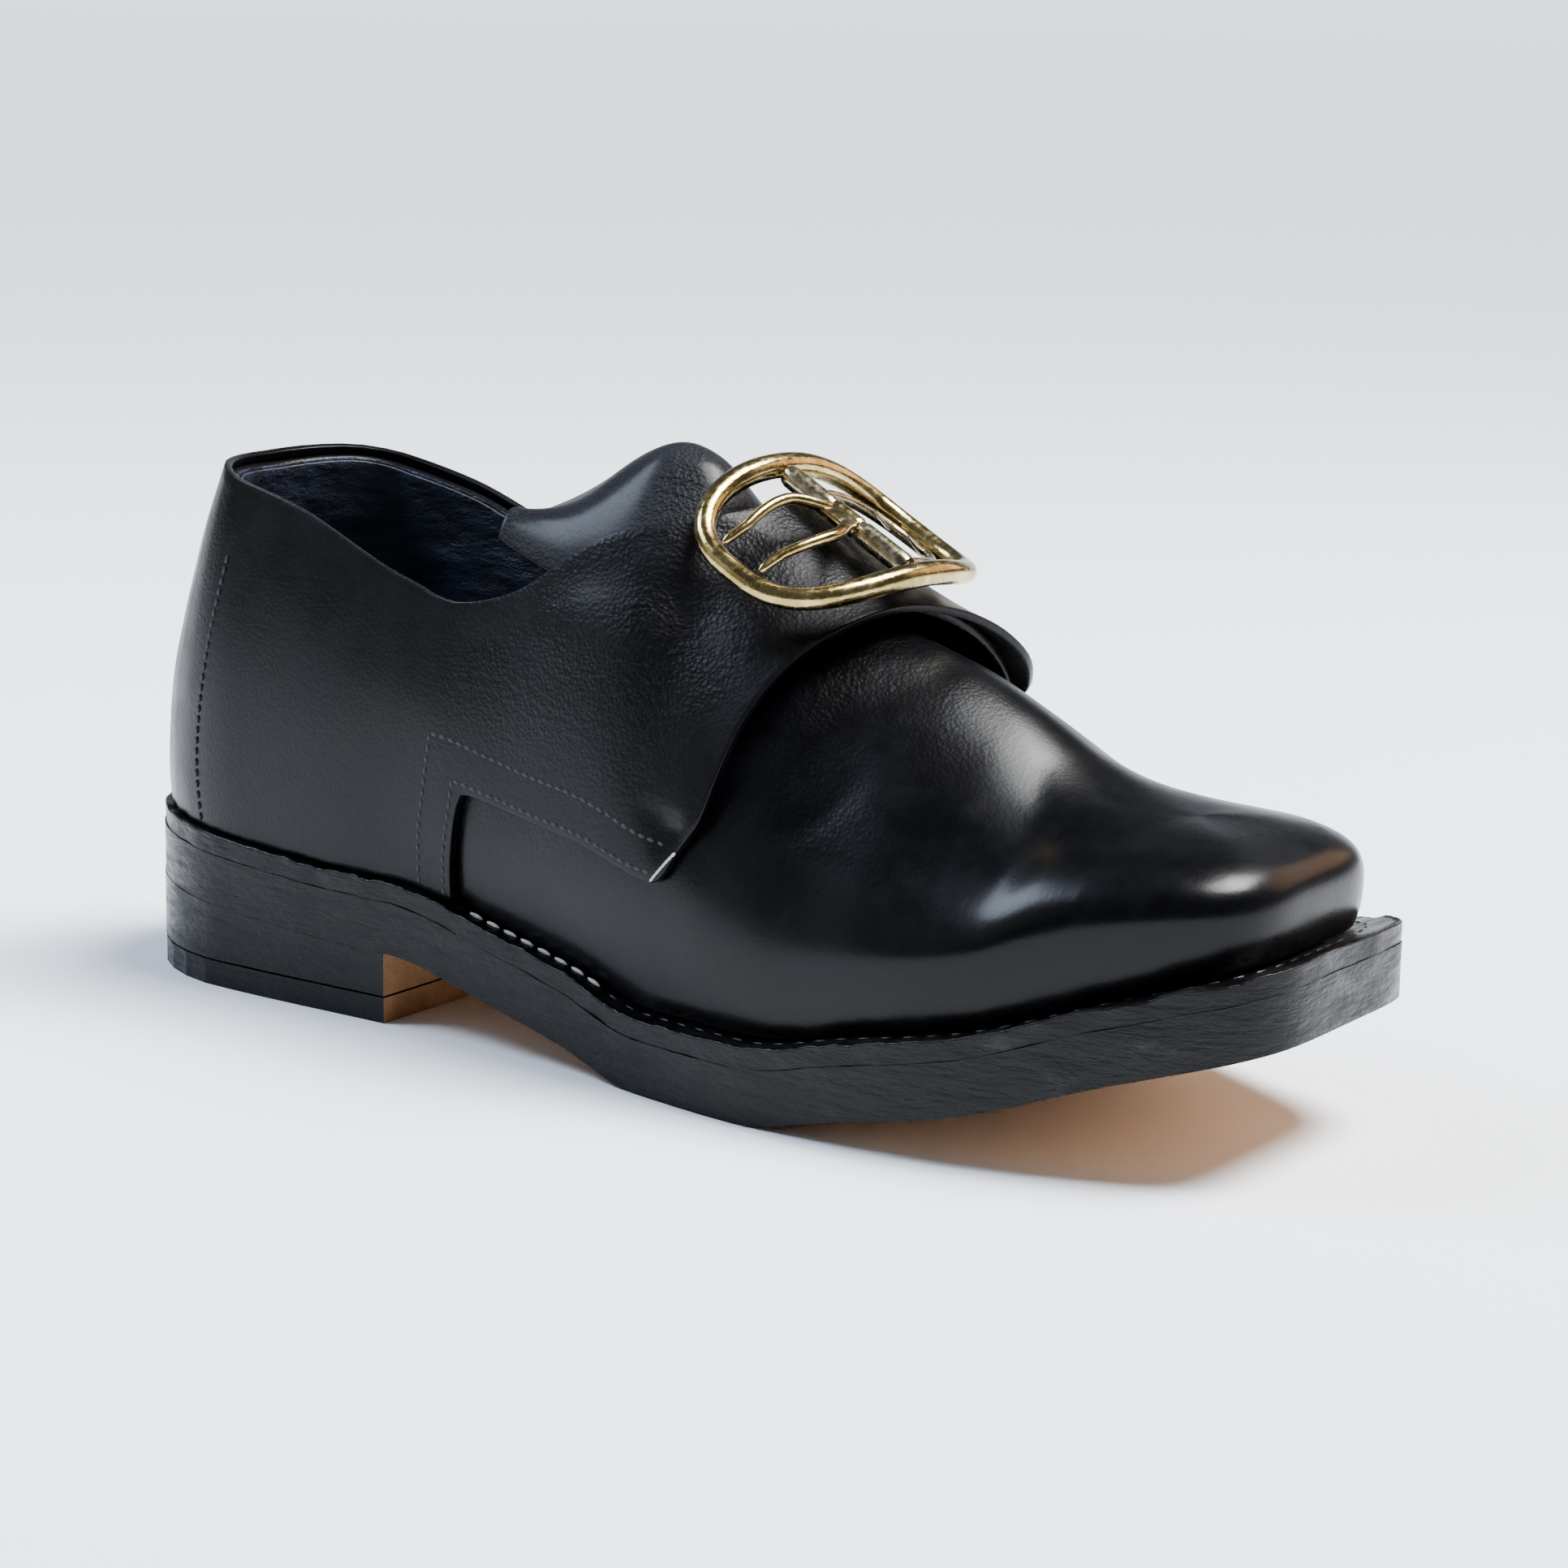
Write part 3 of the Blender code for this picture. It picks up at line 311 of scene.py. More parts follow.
    def toe_section(self, girth: float) -> tuple[float, float]:
        """Returns the reach in front of the toe's centre and the height there.

        Args:
            girth: 0 at the feather, 1 at the ridge.

        Returns:
            The reach and the height.
        """
        base = self.sole_top(self.toe_centre + self.toe_depth) + self.clearance
        ridge = self.row(self.toe_centre)[4]
        middle = base + self.toe_belly_rise
        depth = self.toe_depth
        if girth < self.belly_girth:
            t = girth / self.belly_girth
            rise = (base, mix(base, middle, 0.35), middle)
            return bezier((0.95 * depth, depth, depth), t), bezier(rise, t)
        t = (girth - self.belly_girth) / (1 - self.belly_girth)
        rise = (middle, mix(middle, ridge, 0.75), ridge - self.toe_top_drop, ridge)
        return bezier((depth, depth, 0.8 * depth, 0.0), t), bezier(rise, t)

    def point(self, station: float, girth: float) -> Vector:
        """Returns a point of the last's surface. Girth 1 to 2 is the far side.

        Args:
            station: place along the shoe.
            girth: 0 at the near feather, 1 at the ridge, 2 at the far feather.

        Returns:
            The point, measured from the heel's back.
        """
        if girth > 1:
            x, y, z = self.point(station, 2 - girth)
            return Vector((x, -y, z))
        if station < self.heel_centre:
            return self.heel_point(station, girth)
        if station > self.toe_centre:
            return self.toe_point(station, girth)
        width, height = self.section(station, girth)
        return Vector((station, -width, height))

    def heel_point(self, station: float, girth: float) -> Vector:
        """Returns a point of the heel's rounded back.

        Args:
            station: place along the shoe, behind the heel's centre.
            girth: 0 to 1.

        Returns:
            The point on the near side.
        """
        turn = (1 - station / self.heel_centre) * math.pi / 2
        width, height = self.section(self.heel_centre, girth)
        base = self.row(self.heel_centre)[2]
        reach = self.heel_centre * (1 - self.back((height - base) / self.collar_rise))
        x = self.heel_centre - reach * math.sin(turn)
        height += (self.sole_top(x) + self.clearance - base) * (1 - girth)
        return Vector((x, -width * math.cos(turn), height))

    def toe_point(self, station: float, girth: float) -> Vector:
        """Returns a point of the squared toe.

        Args:
            station: place along the shoe, in front of the toe's centre.
            girth: 0 to 1.

        Returns:
            The point on the near side.
        """
        width, height = self.section(self.toe_centre, girth)
        reach, front_height = self.toe_section(girth)
        forward, sideways = self.toe_turn(station, self.upper_corner)
        x = self.toe_centre + reach * forward
        turn = min((station - self.toe_centre) / (LENGTH - self.toe_centre), 1.0) * math.pi / 2
        share = math.sin(turn) ** 2
        start, end = self.sole_top(self.toe_centre), self.sole_top(self.toe_centre + self.toe_depth)
        lift = (self.sole_top(x) - mix(start, end, share)) * (1 - girth) ** 2
        side = -width * sideways * (1 - self.taper * forward)
        return Vector((x, side, mix(height, front_height, share) + lift))

    def normal(self, station: float, girth: float) -> Vector:
        """Returns the outward normal at a point of the last's surface.

        Args:
            station: place along the shoe.
            girth: 0 to 2, as for a point.

        Returns:
            A direction of length 1.
        """
        if girth > 1:
            x, y, z = self.normal(station, 2 - girth)
            return Vector((x, -y, z))
        step, turn = 0.1 * MM, 0.001
        station = min(max(station, step), LENGTH - step)
        girth = min(max(girth, turn), 1 - turn)
        along = self.point(station + step, girth) - self.point(station - step, girth)
        around = self.point(station, girth + turn) - self.point(station, girth - turn)
        return along.cross(around).normalized()

    def off(self, station: float, girth: float, offset: float) -> Vector:
        """Returns a point at an offset from the last's surface, outwards if positive."""
        return self.point(station, girth) + self.normal(station, girth) * offset

    def edge_girth(self, station: float) -> float:
        """Returns the girth of the inner wall's top edge, 1 in front of the throat."""
        return 1.0 if station >= THROAT - MM else self.inner_edge(station / LENGTH)


LAST = Last()


def centred(point: Vector) -> Vector:
    """Moves a point measured from the heel's back to the shoe's own origin."""
    return Vector((point[0] - LENGTH / 2, point[1], point[2]))


def placed(name: str, data: bpy.types.ID) -> bpy.types.Object:
    """Makes an object and links it to the scene.

    Args:
        name: the object's name.
        data: its mesh, light or camera.

    Returns:
        The object.
    """
    item = bpy.data.objects.new(name, data)
    bpy.context.scene.collection.objects.link(item)
    return item


@dataclass(frozen=True)
class Crease:
    """A soft trough, or a ridge where its depth is negative, along a path on the leather."""

    path: tuple[tuple[float, float], ...]
    depth: float
    width: float
    girth_length: float = 0.12

    def height(self, station: float, girth: float) -> float:
        """Returns the height that the crease adds at a place of the leather.

        Args:
            station: place along the shoe.
            girth: 0 to 2, as for a point of the last.

        Returns:
            The height, below 0 in a trough.
        """
        best = 1.0
        along = 0.0
        count = len(self.path) - 1
        for i, ((s0, g0), (s1, g1)) in enumerate(zip(self.path, self.path[1:])):
            ax, ay = (s1 - s0) * LENGTH, (g1 - g0) * self.girth_length
            bx, by = station - s0 * LENGTH, (girth - g0) * self.girth_length
            share = min(max((ax * bx + ay * by) / (ax * ax + ay * ay), 0.0), 1.0)
            distance = math.hypot(bx - ax * share, by - ay * share)
            if distance < best:
                best, along = distance, (i + share) / count
        if best > 3 * self.width:
            return 0.0
        fade = ease(0.0, 0.3, along) * ease(0.0, 0.3, 1 - along)
        return -self.depth * fade * math.exp(-((best / self.width) ** 2))


@dataclass(frozen=True)
class Relief:
    """Creases and small unevenness of one piece of leather."""

    creases: tuple[Crease, ...] = ()
    swell: float = 0.0
    swell_size: float = 0.03
    seed: float = 0.0

    def height(self, station: float, girth: float) -> float:
        """Returns the relief's height at a place of the leather.

        Args:
            station: place along the shoe.
            girth: 0 to 2, as for a point of the last.

        Returns:
            The height over the plain surface.
        """
        pole = 1 - ease(0.45, 0.9, min(girth, 2 - girth)) * ease(0.250, LAST.toe_centre, station)
        total = sum(crease.height(station, girth) for crease in self.creases) * pole
        if self.swell:
            place = LAST.point(min(max(station, 0.0), LENGTH), min(max(girth, 0.0), 2.0))
            total += self.swell * noise.noise(place / self.swell_size + Vector((0.0, 0.0, self.seed)))
        return total


class Maker:
    """Makes meshes and finished pieces."""

    @staticmethod
    def grid(columns: int, rows: int, place: Placer) -> bmesh.types.BMesh:
        """Makes a grid whose vertex in column i and row j is at place(i, j).

        Args:
            columns: number of steps along.
            rows: number of steps across.
            place: gives the point of a vertex, in the shoe's frame.

        Returns:
            The grid, with integer layers column and row on its vertices.
        """
        grid = bmesh.new()
        bmesh.ops.create_grid(grid, x_segments=columns, y_segments=rows, size=0.5)
        column = grid.verts.layers.int.new("column")
        row = grid.verts.layers.int.new("row")
        for vert in grid.verts:
            vert[column] = round((vert.co.x + 0.5) * columns)
            vert[row] = round((vert.co.y + 0.5) * rows)
            vert.co = place(vert[column], vert[row])
        grid.normal_update()
        return grid

    @staticmethod
    def paint(grid: bmesh.types.BMesh, name: str, value: Callable[[int, int], float]) -> None:
        """Writes a float attribute on a grid's vertices from their column and row.

        Args:
            grid: a mesh that grid made.
            name: the attribute's name.
            value: gives the value of a vertex.
        """
        layer = grid.verts.layers.float.new(name)
        column = grid.verts.layers.int["column"]
        row = grid.verts.layers.int["row"]
        for vert in grid.verts:
            vert[layer] = value(vert[column], vert[row])

    @staticmethod
    def flip_to(grid: bmesh.types.BMesh, outward: Callable[[Vector], Vector]) -> None:
        """Turns all faces over if they look against an outward direction.

        Args:
            grid: the mesh.
            outward: gives the outward direction at a point.
        """
        grid.normal_update()
        faces = grid.faces[:][:: max(len(grid.faces) // 200, 1)]
        total = sum(f.normal.dot(outward(f.calc_center_median())) for f in faces)
        if total < 0:
            bmesh.ops.reverse_faces(grid, faces=grid.faces)

    @staticmethod
    def smooth(grid: bmesh.types.BMesh, verts: Sequence[bmesh.types.BMVert], passes: int) -> None:
        """Smooths some vertices, at each pass half way to the middle of their neighbours.

        Args:
            grid: the mesh.
            verts: the vertices that move.
            passes: how often.
        """
        for _ in range(passes):
            bmesh.ops.smooth_vert(
                grid, verts=verts, factor=0.5, use_axis_x=True, use_axis_y=True, use_axis_z=True
            )

    @staticmethod
    def mesh(grid: bmesh.types.BMesh, name: str) -> bpy.types.Mesh:
        """Turns a bmesh into mesh data and frees it.

        Args:
            grid: the mesh.
            name: name of the mesh data.

        Returns:
            The mesh data.
        """
        data = bpy.data.meshes.new(name)
        grid.to_mesh(data)
        grid.free()
        return data

    @staticmethod
    def join(grids: Sequence[bmesh.types.BMesh]) -> bmesh.types.BMesh:
        """Puts several bmeshes into the first one.

        Args:
            grids: the meshes; all but the first are freed.

        Returns:
            The first one, with all in it.
        """
        first, *others = grids
        for other in others:
            data = Maker.mesh(other, "joined")
            first.from_mesh(data)
            bpy.data.meshes.remove(data)
        return first

    @staticmethod
    def piece(
        name: str,
        data: bpy.types.Mesh,
        materials: Sequence[bpy.types.Material],
        slot: Slot,
        replaces: Sequence[str] = (),
        sharp: float = SOFT_EDGE,
    ) -> bpy.types.Object:
        """Makes a finished piece that rides on the shoe.

        Args:
            name: the object's name.
            data: its mesh.
            materials: one or more materials, in slot order.
            slot: a material slot; not used.
            replaces: CAD nodes that it stands for.
            sharp: angle in degrees above which an edge stays sharp.

        Returns:
            The object.
        """
        item = placed(name, data)
        for material in materials:
            data.materials.append(material)
        data.shade_smooth()
        data.set_sharp_from_angle(angle=math.radians(sharp))
        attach(item, BODY)
        if replaces:
            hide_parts(*replaces)
        LOG.info("%s: %d faces", name, len(data.polygons))
        return item

    @staticmethod
    def wall(item: bpy.types.Object, thickness: float, outward: bool, inner: int = 0) -> None:
        """Gives a sheet a thickness, with rounded rims.

        Args:
            item: the piece.
            thickness: in metres.
            outward: the sheet is the inner side.
            inner: how many material slots further the added side's material is.
        """
        solid = item.modifiers.new("wall", "SOLIDIFY")
        solid.thickness = thickness
        solid.offset = 1 if outward else -1
        solid.material_offset = inner
        rim = item.modifiers.new("rim", "BEVEL")
        rim.width = thickness * 0.28
        rim.segments = 2
        rim.limit_method = "ANGLE"
        rim.angle_limit = math.radians(60)
        rim.profile = 0.5
        rim.material = -1
        rim.affect = "EDGES"

    @staticmethod
    def tube(
        points: Sequence[Vector], radii: Sequence[float], cyclic: bool = False, around: int = 12
    ) -> bmesh.types.BMesh:
        """Makes a round bar through points, by sweeping a circle with a steady frame.

        Args:
            points: the centre line.
            radii: the radius at each point.
            cyclic: the bar is closed on itself.
            around: number of sides.

        Returns:
            The bar, with closed ends.
        """
        count = len(points)
        ahead = [points[(i + 1) % count] if cyclic or i < count - 1 else points[i] for i in range(count)]
        behind = [points[i - 1] if cyclic or i else points[0] for i in range(count)]
        tangents = [(a - b).normalized() for a, b in zip(ahead, behind)]
        side = tangents[0].orthogonal().normalized()
        frames = []
        for tangent in tangents:
            side = (side - tangent * side.dot(tangent)).normalized()
            frames.append((side.copy(), tangent.cross(side).normalized()))
        total = count if cyclic else count - 1

        def place(i: int, j: int) -> Vector:
            """Returns a vertex of the bar.

            Args:
                i: step along the bar.
                j: step around it.

            Returns:
                The vertex.
            """
            i %= count
            turn = 2 * math.pi * j / around
            across, up = frames[i]
            return points[i] + (across * math.cos(turn) + up * math.sin(turn)) * radii[i]

        bar = Maker.grid(total, around, place)
        bmesh.ops.remove_doubles(bar, verts=bar.verts, dist=0.001 * MM)
        if not cyclic:
            rims = [edge for edge in bar.edges if edge.is_boundary]
            bmesh.ops.holes_fill(bar, edges=rims, sides=0)
        bmesh.ops.recalc_face_normals(bar, faces=bar.faces)
        return bar


class Socket:
    """An output of a shader node, with arithmetic."""

    def __init__(self, graph: "Graph", output: bpy.types.NodeSocket) -> None:
        """Wraps an output of a node in a graph."""
        self.graph = graph
        self.output = output

    def _with(self, kind: str, other: "Value", swapped: bool = False) -> "Socket":
        """Returns the result of a Math node on this socket and a value."""
        first, second = (other, self) if swapped else (self, other)
        return self.graph.node("ShaderNodeMath", {0: first, 1: second}, operation=kind)

    def __add__(self, other: "Value") -> "Socket":
        """Adds a value."""
        return self._with("ADD", other)

    __radd__ = __add__

    def __sub__(self, other: "Value") -> "Socket":
        """Takes a value away."""
        return self._with("SUBTRACT", other)

    def __rsub__(self, other: "Value") -> "Socket":
        """Takes this socket away from a value."""
        return self._with("SUBTRACT", other, swapped=True)

    def __mul__(self, other: "Value") -> "Socket":
        """Multiplies by a value."""
        return self._with("MULTIPLY", other)

    __rmul__ = __mul__

    def ramp(self, low: float, high: float, start: float = 0.0, end: float = 1.0) -> "Socket":
        """Maps low..high to start..end smoothly, held at both ends.

        Args:
            low: lowest value.
            high: highest value.
            start: what the lowest becomes.
            end: what the highest becomes.

        Returns:
            The mapped value.
        """
        return self.graph.node(
            "ShaderNodeMapRange",
            {0: self, 1: low, 2: high, 3: start, 4: end},
            interpolation_type="SMOOTHSTEP",
        )


Value = Socket | float
Shade = Socket | Sequence[float]


class Graph:
    """A material's node tree around its Principled shader."""

    def __init__(self, name: str) -> None:
        """Makes a new material.

        Args:
            name: the material's name.
        """
        self.material = bpy.data.materials.new(name)
        self.material.use_nodes = True
        self.tree = self.material.node_tree
        self.shader = self.tree.nodes["Principled BSDF"]

    def set(self, node: bpy.types.Node, key: int | str, value: object) -> None:
        """Links a socket to an input, or sets the input to a constant.

        Args:
            node: the node.
            key: the input's key.
            value: a socket or a constant.
        """
        if isinstance(value, Socket):
            self.tree.links.new(value.output, node.inputs[key])
        else:
            node.inputs[key].default_value = value

    def node(
        self,
        kind: str,
        inputs: dict[int | str, object] | None = None,
        out: int | str = 0,
        **settings: object,
    ) -> Socket:
        """Adds a node and returns one of its outputs.

        Args:
            kind: the node's type name.
            inputs: input keys with sockets or constants.
            out: key of the output to return.
            **settings: properties of the node.

        Returns:
            The output.
        """
        node = self.tree.nodes.new(kind)
        for key, value in settings.items():
            setattr(node, key, value)
        for key, value in (inputs or {}).items():
            self.set(node, key, value)
        return Socket(self, node.outputs[out])

    def place(self, scale: tuple[float, float, float] = (1.0, 1.0, 1.0)) -> Socket:
        """Returns object coordinates, scaled."""
        coordinates = self.node("ShaderNodeTexCoord", out="Object")
        return self.node("ShaderNodeMapping", {"Vector": coordinates, "Scale": scale})

    def noise(
        self,
        scale: float,
        detail: float = 2.0,
        rough: float = 0.5,
        stretch: tuple[float, float, float] = (1.0, 1.0, 1.0),
    ) -> Socket:
        """Returns a noise texture's value, 0 to 1.

        Args:
            scale: how fine it is.
            detail: number of finer layers.
            rough: how strong they are.
            stretch: scale along each axis.

        Returns:
            The value.
        """
        inputs = {"Vector": self.place(stretch), "Scale": scale, "Detail": detail, "Roughness": rough}
        return self.node("ShaderNodeTexNoise", inputs)

    def cells(self, scale: float) -> Socket:
        """Returns the distance of a Voronoi texture."""
        return self.node("ShaderNodeTexVoronoi", {"Vector": self.place(), "Scale": scale}, out="Distance")

    def attribute(self, name: str) -> Socket:
        """Returns a painted attribute."""
        return self.node("ShaderNodeAttribute", out="Fac", attribute_name=name)

    def colour(self, share: Value, low: Shade, high: Shade) -> Socket:
        """Returns a mixture of two colours, each a socket or three numbers."""
        low, high = (shade if isinstance(shade, Socket) else (*shade, 1.0) for shade in (low, high))
        return self.node("ShaderNodeMix", {0: share, 6: low, 7: high}, out=2, data_type="RGBA")

    def bump(self, height: Socket, distance: float, strength: float) -> Socket:
        """Returns a normal bumped by a height."""
        inputs = {"Height": height, "Distance": distance, "Strength": strength}
        return self.node("ShaderNodeBump", inputs, out="Normal")

    def finish(self, **inputs: object) -> bpy.types.Material:
        """Sets inputs of the Principled shader, named with underscores, and returns the material.

        Args:
            **inputs: sockets or constants.

        Returns:
            The material.
        """
        for key, value in inputs.items():
            self.set(self.shader, key.replace("_", " ").title().replace("Ior", "IOR"), value)
        return self.material


@dataclass(frozen=True)
class Leather:
    """Black finished leather: polish, grain and fine wrinkles."""

    name: str
    dark: Rgb = (0.0005, 0.0005, 0.0009)
    light: Rgb = (0.0020, 0.0021, 0.0036)
    rough: tuple[float, float] = (0.25, 0.36)
    grain: float = 0.10
    grain_scale: float = 1100.0
    coat: float = 0.12

    def material(self) -> bpy.types.Material:
        """Builds the material. The attribute grain says how pebbled the leather is.

        Returns:
            The material.
        """
        graph = Graph(self.name)
        pebbled = graph.attribute("grain")
        mottle = graph.noise(60.0, 4.0, 0.6)
        cells = graph.cells(self.grain_scale)
        fine = graph.noise(2600.0, 2.0, 0.6)
        wrinkles = graph.noise(330.0, 5.0, 0.62, (1.0, 1.0, 1.7))
        depth = pebbled * 0.9 + 0.1
        height = (cells * 0.55 + fine * 0.25) * depth + wrinkles * pebbled * 1.1
        normal = graph.bump(height, 0.5 * MM, self.grain * 4)
        worn = mottle.ramp(0.35, 0.7)
        return graph.finish(
            base_color=graph.colour(worn * 0.6 + pebbled * 0.3, self.dark, self.light),
            roughness=worn * (self.rough[1] - self.rough[0]) + pebbled * 0.07 + self.rough[0],
            coat_weight=self.coat,
            coat_roughness=0.22,
            specular_ior_level=0.10,
            normal=normal,
        )


@dataclass(frozen=True)
class Lining:
    """Matt navy lining with small wrinkles, with painted shade in their troughs and painted highlight on
    their crests.
    """

    name: str = "navy_lining"
    dark: Rgb = (0.004, 0.006, 0.014)
    light: Rgb = (0.018, 0.026, 0.050)
    rough: float = 0.5

    def material(self) -> bpy.types.Material:
        """Builds the material.

        Returns:
            The material.
        """
        graph = Graph(self.name)
        folds = graph.noise(140.0, 6.0, 0.6, (0.55, 1.0, 1.6))
        fine = graph.noise(1800.0, 2.0)
        return graph.finish(
            # painted shade and highlight: the colour is darker where the folds' bump is low and lighter where
            # it is high
            base_color=graph.colour(folds.ramp(0.35, 0.65), self.dark, self.light),
            roughness=self.rough,
            normal=graph.bump(folds + fine * 0.12, 1.6 * MM, 0.9),
        )


@dataclass(frozen=True)
class EdgeInk:
    """Black waxed edges of the sole, streaked along the shoe, with grey dabs as painted glints on the wax.
    Bare leather where painted so.
    """

    name: str = "inked_edge"
    ink: tuple[Rgb, Rgb] = ((0.0007, 0.0007, 0.0010), (0.0040, 0.0038, 0.0045))
    # grey of the painted glints (painted highlight) on the waxed edge
    painted_wax_glint: Rgb = (0.030, 0.026, 0.024)
    tan: tuple[Rgb, Rgb] = ((0.34, 0.165, 0.070), (0.58, 0.335, 0.165))
    fibre: tuple[Rgb, Rgb] = ((0.52, 0.29, 0.14), (0.20, 0.085, 0.035))
    channel: Rgb = (0.12, 0.05, 0.025)

    def material(self) -> bpy.types.Material:
        """Builds the material.

        The attribute bare is 1 on uninked leather, and groove is 1 along the channel under the sole.

        Returns:
            The material.
        """
        graph = Graph(self.name)
        bare = graph.attribute("bare")
        groove = graph.attribute("groove")
        streaks = graph.noise(420.0, 5.0, 0.65, (0.16, 0.16, 1.0))
        dabs = graph.noise(95.0, 5.0, 0.7, (0.7, 0.7, 1.6))
        mottle = graph.noise(38.0, 7.0, 0.72)
        fibres = graph.noise(900.0, 3.0, 0.6, (0.5, 1.0, 1.0))
        ink = graph.colour(streaks.ramp(0.45, 0.75), *self.ink)
        # painted highlight: grey dabs on the ink stand in for glints of the wax
        ink = graph.colour(dabs.ramp(0.60, 0.74) * 0.55, ink, self.painted_wax_glint)
        tan = graph.colour(mottle.ramp(0.32, 0.7), *self.tan)
        speck = graph.colour(fibres.ramp(0.5, 0.8), *self.fibre)
        raw = graph.colour(fibres.ramp(0.58, 0.8) * 0.4, tan, speck)
        raw = graph.colour(groove, raw, self.channel)
        waxed = streaks.ramp(0.4, 0.7) * 0.26 + dabs.ramp(0.5, 0.66) * -0.12 + 0.32
        return graph.finish(
            base_color=graph.colour(bare, ink, raw),
            roughness=waxed + bare * 0.25,
            coat_weight=(1.0 - bare) * 0.12,
            coat_roughness=0.25,
            specular_ior_level=0.12,
            normal=graph.bump(streaks * 0.6 + dabs * 0.9, 1.1 * MM, 0.85),
        )


@dataclass(frozen=True)
class Metal:
    """Cast metal, polished by hand."""

    name: str
    dark: Rgb
    light: Rgb
    rough: tuple[float, float]

    def material(self) -> bpy.types.Material:
        """Builds the material.

        Returns:
            The material.
        """
        graph = Graph(self.name)
        cast = graph.noise(150.0, 4.0, 0.6)
        rub = graph.noise(900.0, 3.0, 0.6, (1.0, 0.4, 1.0))
        tone = cast.ramp(0.35, 0.68)
        return graph.finish(
            base_color=graph.colour(tone, self.dark, self.light),
            metallic=1.0,
            roughness=rub.ramp(0.3, 0.8) * (self.rough[1] - self.rough[0]) + self.rough[0],
            normal=graph.bump(cast + rub * 0.15, 0.5 * MM, 0.35),
        )


@dataclass(frozen=True)
class Thread:
    """Twisted thread, with painted shade in the grooves of its twist."""

    name: str
    colour: Rgb

    def material(self) -> bpy.types.Material:
        """Builds the material.

        Returns:
            The material.
        """
        graph = Graph(self.name)
        twist = graph.noise(2400.0, 2.0)
        # painted shade: a darker copy of the thread's colour for the grooves of the twist
        painted_twist_shade = tuple(value * 0.55 for value in self.colour)
        return graph.finish(
            base_color=graph.colour(twist.ramp(0.3, 0.7), painted_twist_shade, self.colour),
            roughness=0.6,
            normal=graph.bump(twist, 0.2 * MM, 0.5),
        )


@dataclass(frozen=True)
class Paper:
    """Pale plain floor."""

    name: str = "pale_floor"
    dark: Rgb = (0.86, 0.90, 0.95)
    light: Rgb = (0.88, 0.92, 0.965)
    rough: float = 0.75

    def material(self) -> bpy.types.Material:
        """Builds the material.

        Returns:
            The material.
        """
        graph = Graph(self.name)
        cloud = graph.noise(1.5, 2.0)
        return graph.finish(
            base_color=graph.colour(cloud, self.dark, self.light),
            roughness=self.rough,
        )


class Palette:
    """All materials, made once."""

    def __init__(self) -> None:
        """Builds every finish."""
        self.black = Leather("polished_black").material()
        self.latchet = Leather("latchet_black", grain=0.2, rough=(0.30, 0.42)).material()
        self.tongue = Leather(
            "tongue_black", light=(0.007, 0.008, 0.012), rough=(0.38, 0.50), grain=0.30, coat=0.18
        ).material()
        self.lining = Lining().material()
        self.edge = EdgeInk().material()
        self.brass = Metal("polished_brass", (0.27, 0.20, 0.070), (0.58, 0.45, 0.20), (0.12, 0.30)).material()
        self.worn_brass = Metal(
            "worn_brass", (0.20, 0.165, 0.10), (0.50, 0.43, 0.28), (0.18, 0.38)
        ).material()
        self.steel = Metal("dull_steel", (0.26, 0.235, 0.20), (0.52, 0.48, 0.41), (0.20, 0.42)).material()
        self.black_thread = Thread("black_thread", (0.010, 0.010, 0.013)).material()
        self.white_thread = Thread("waxed_white_thread", (0.62, 0.60, 0.54)).material()
        self.paper = Paper().material()


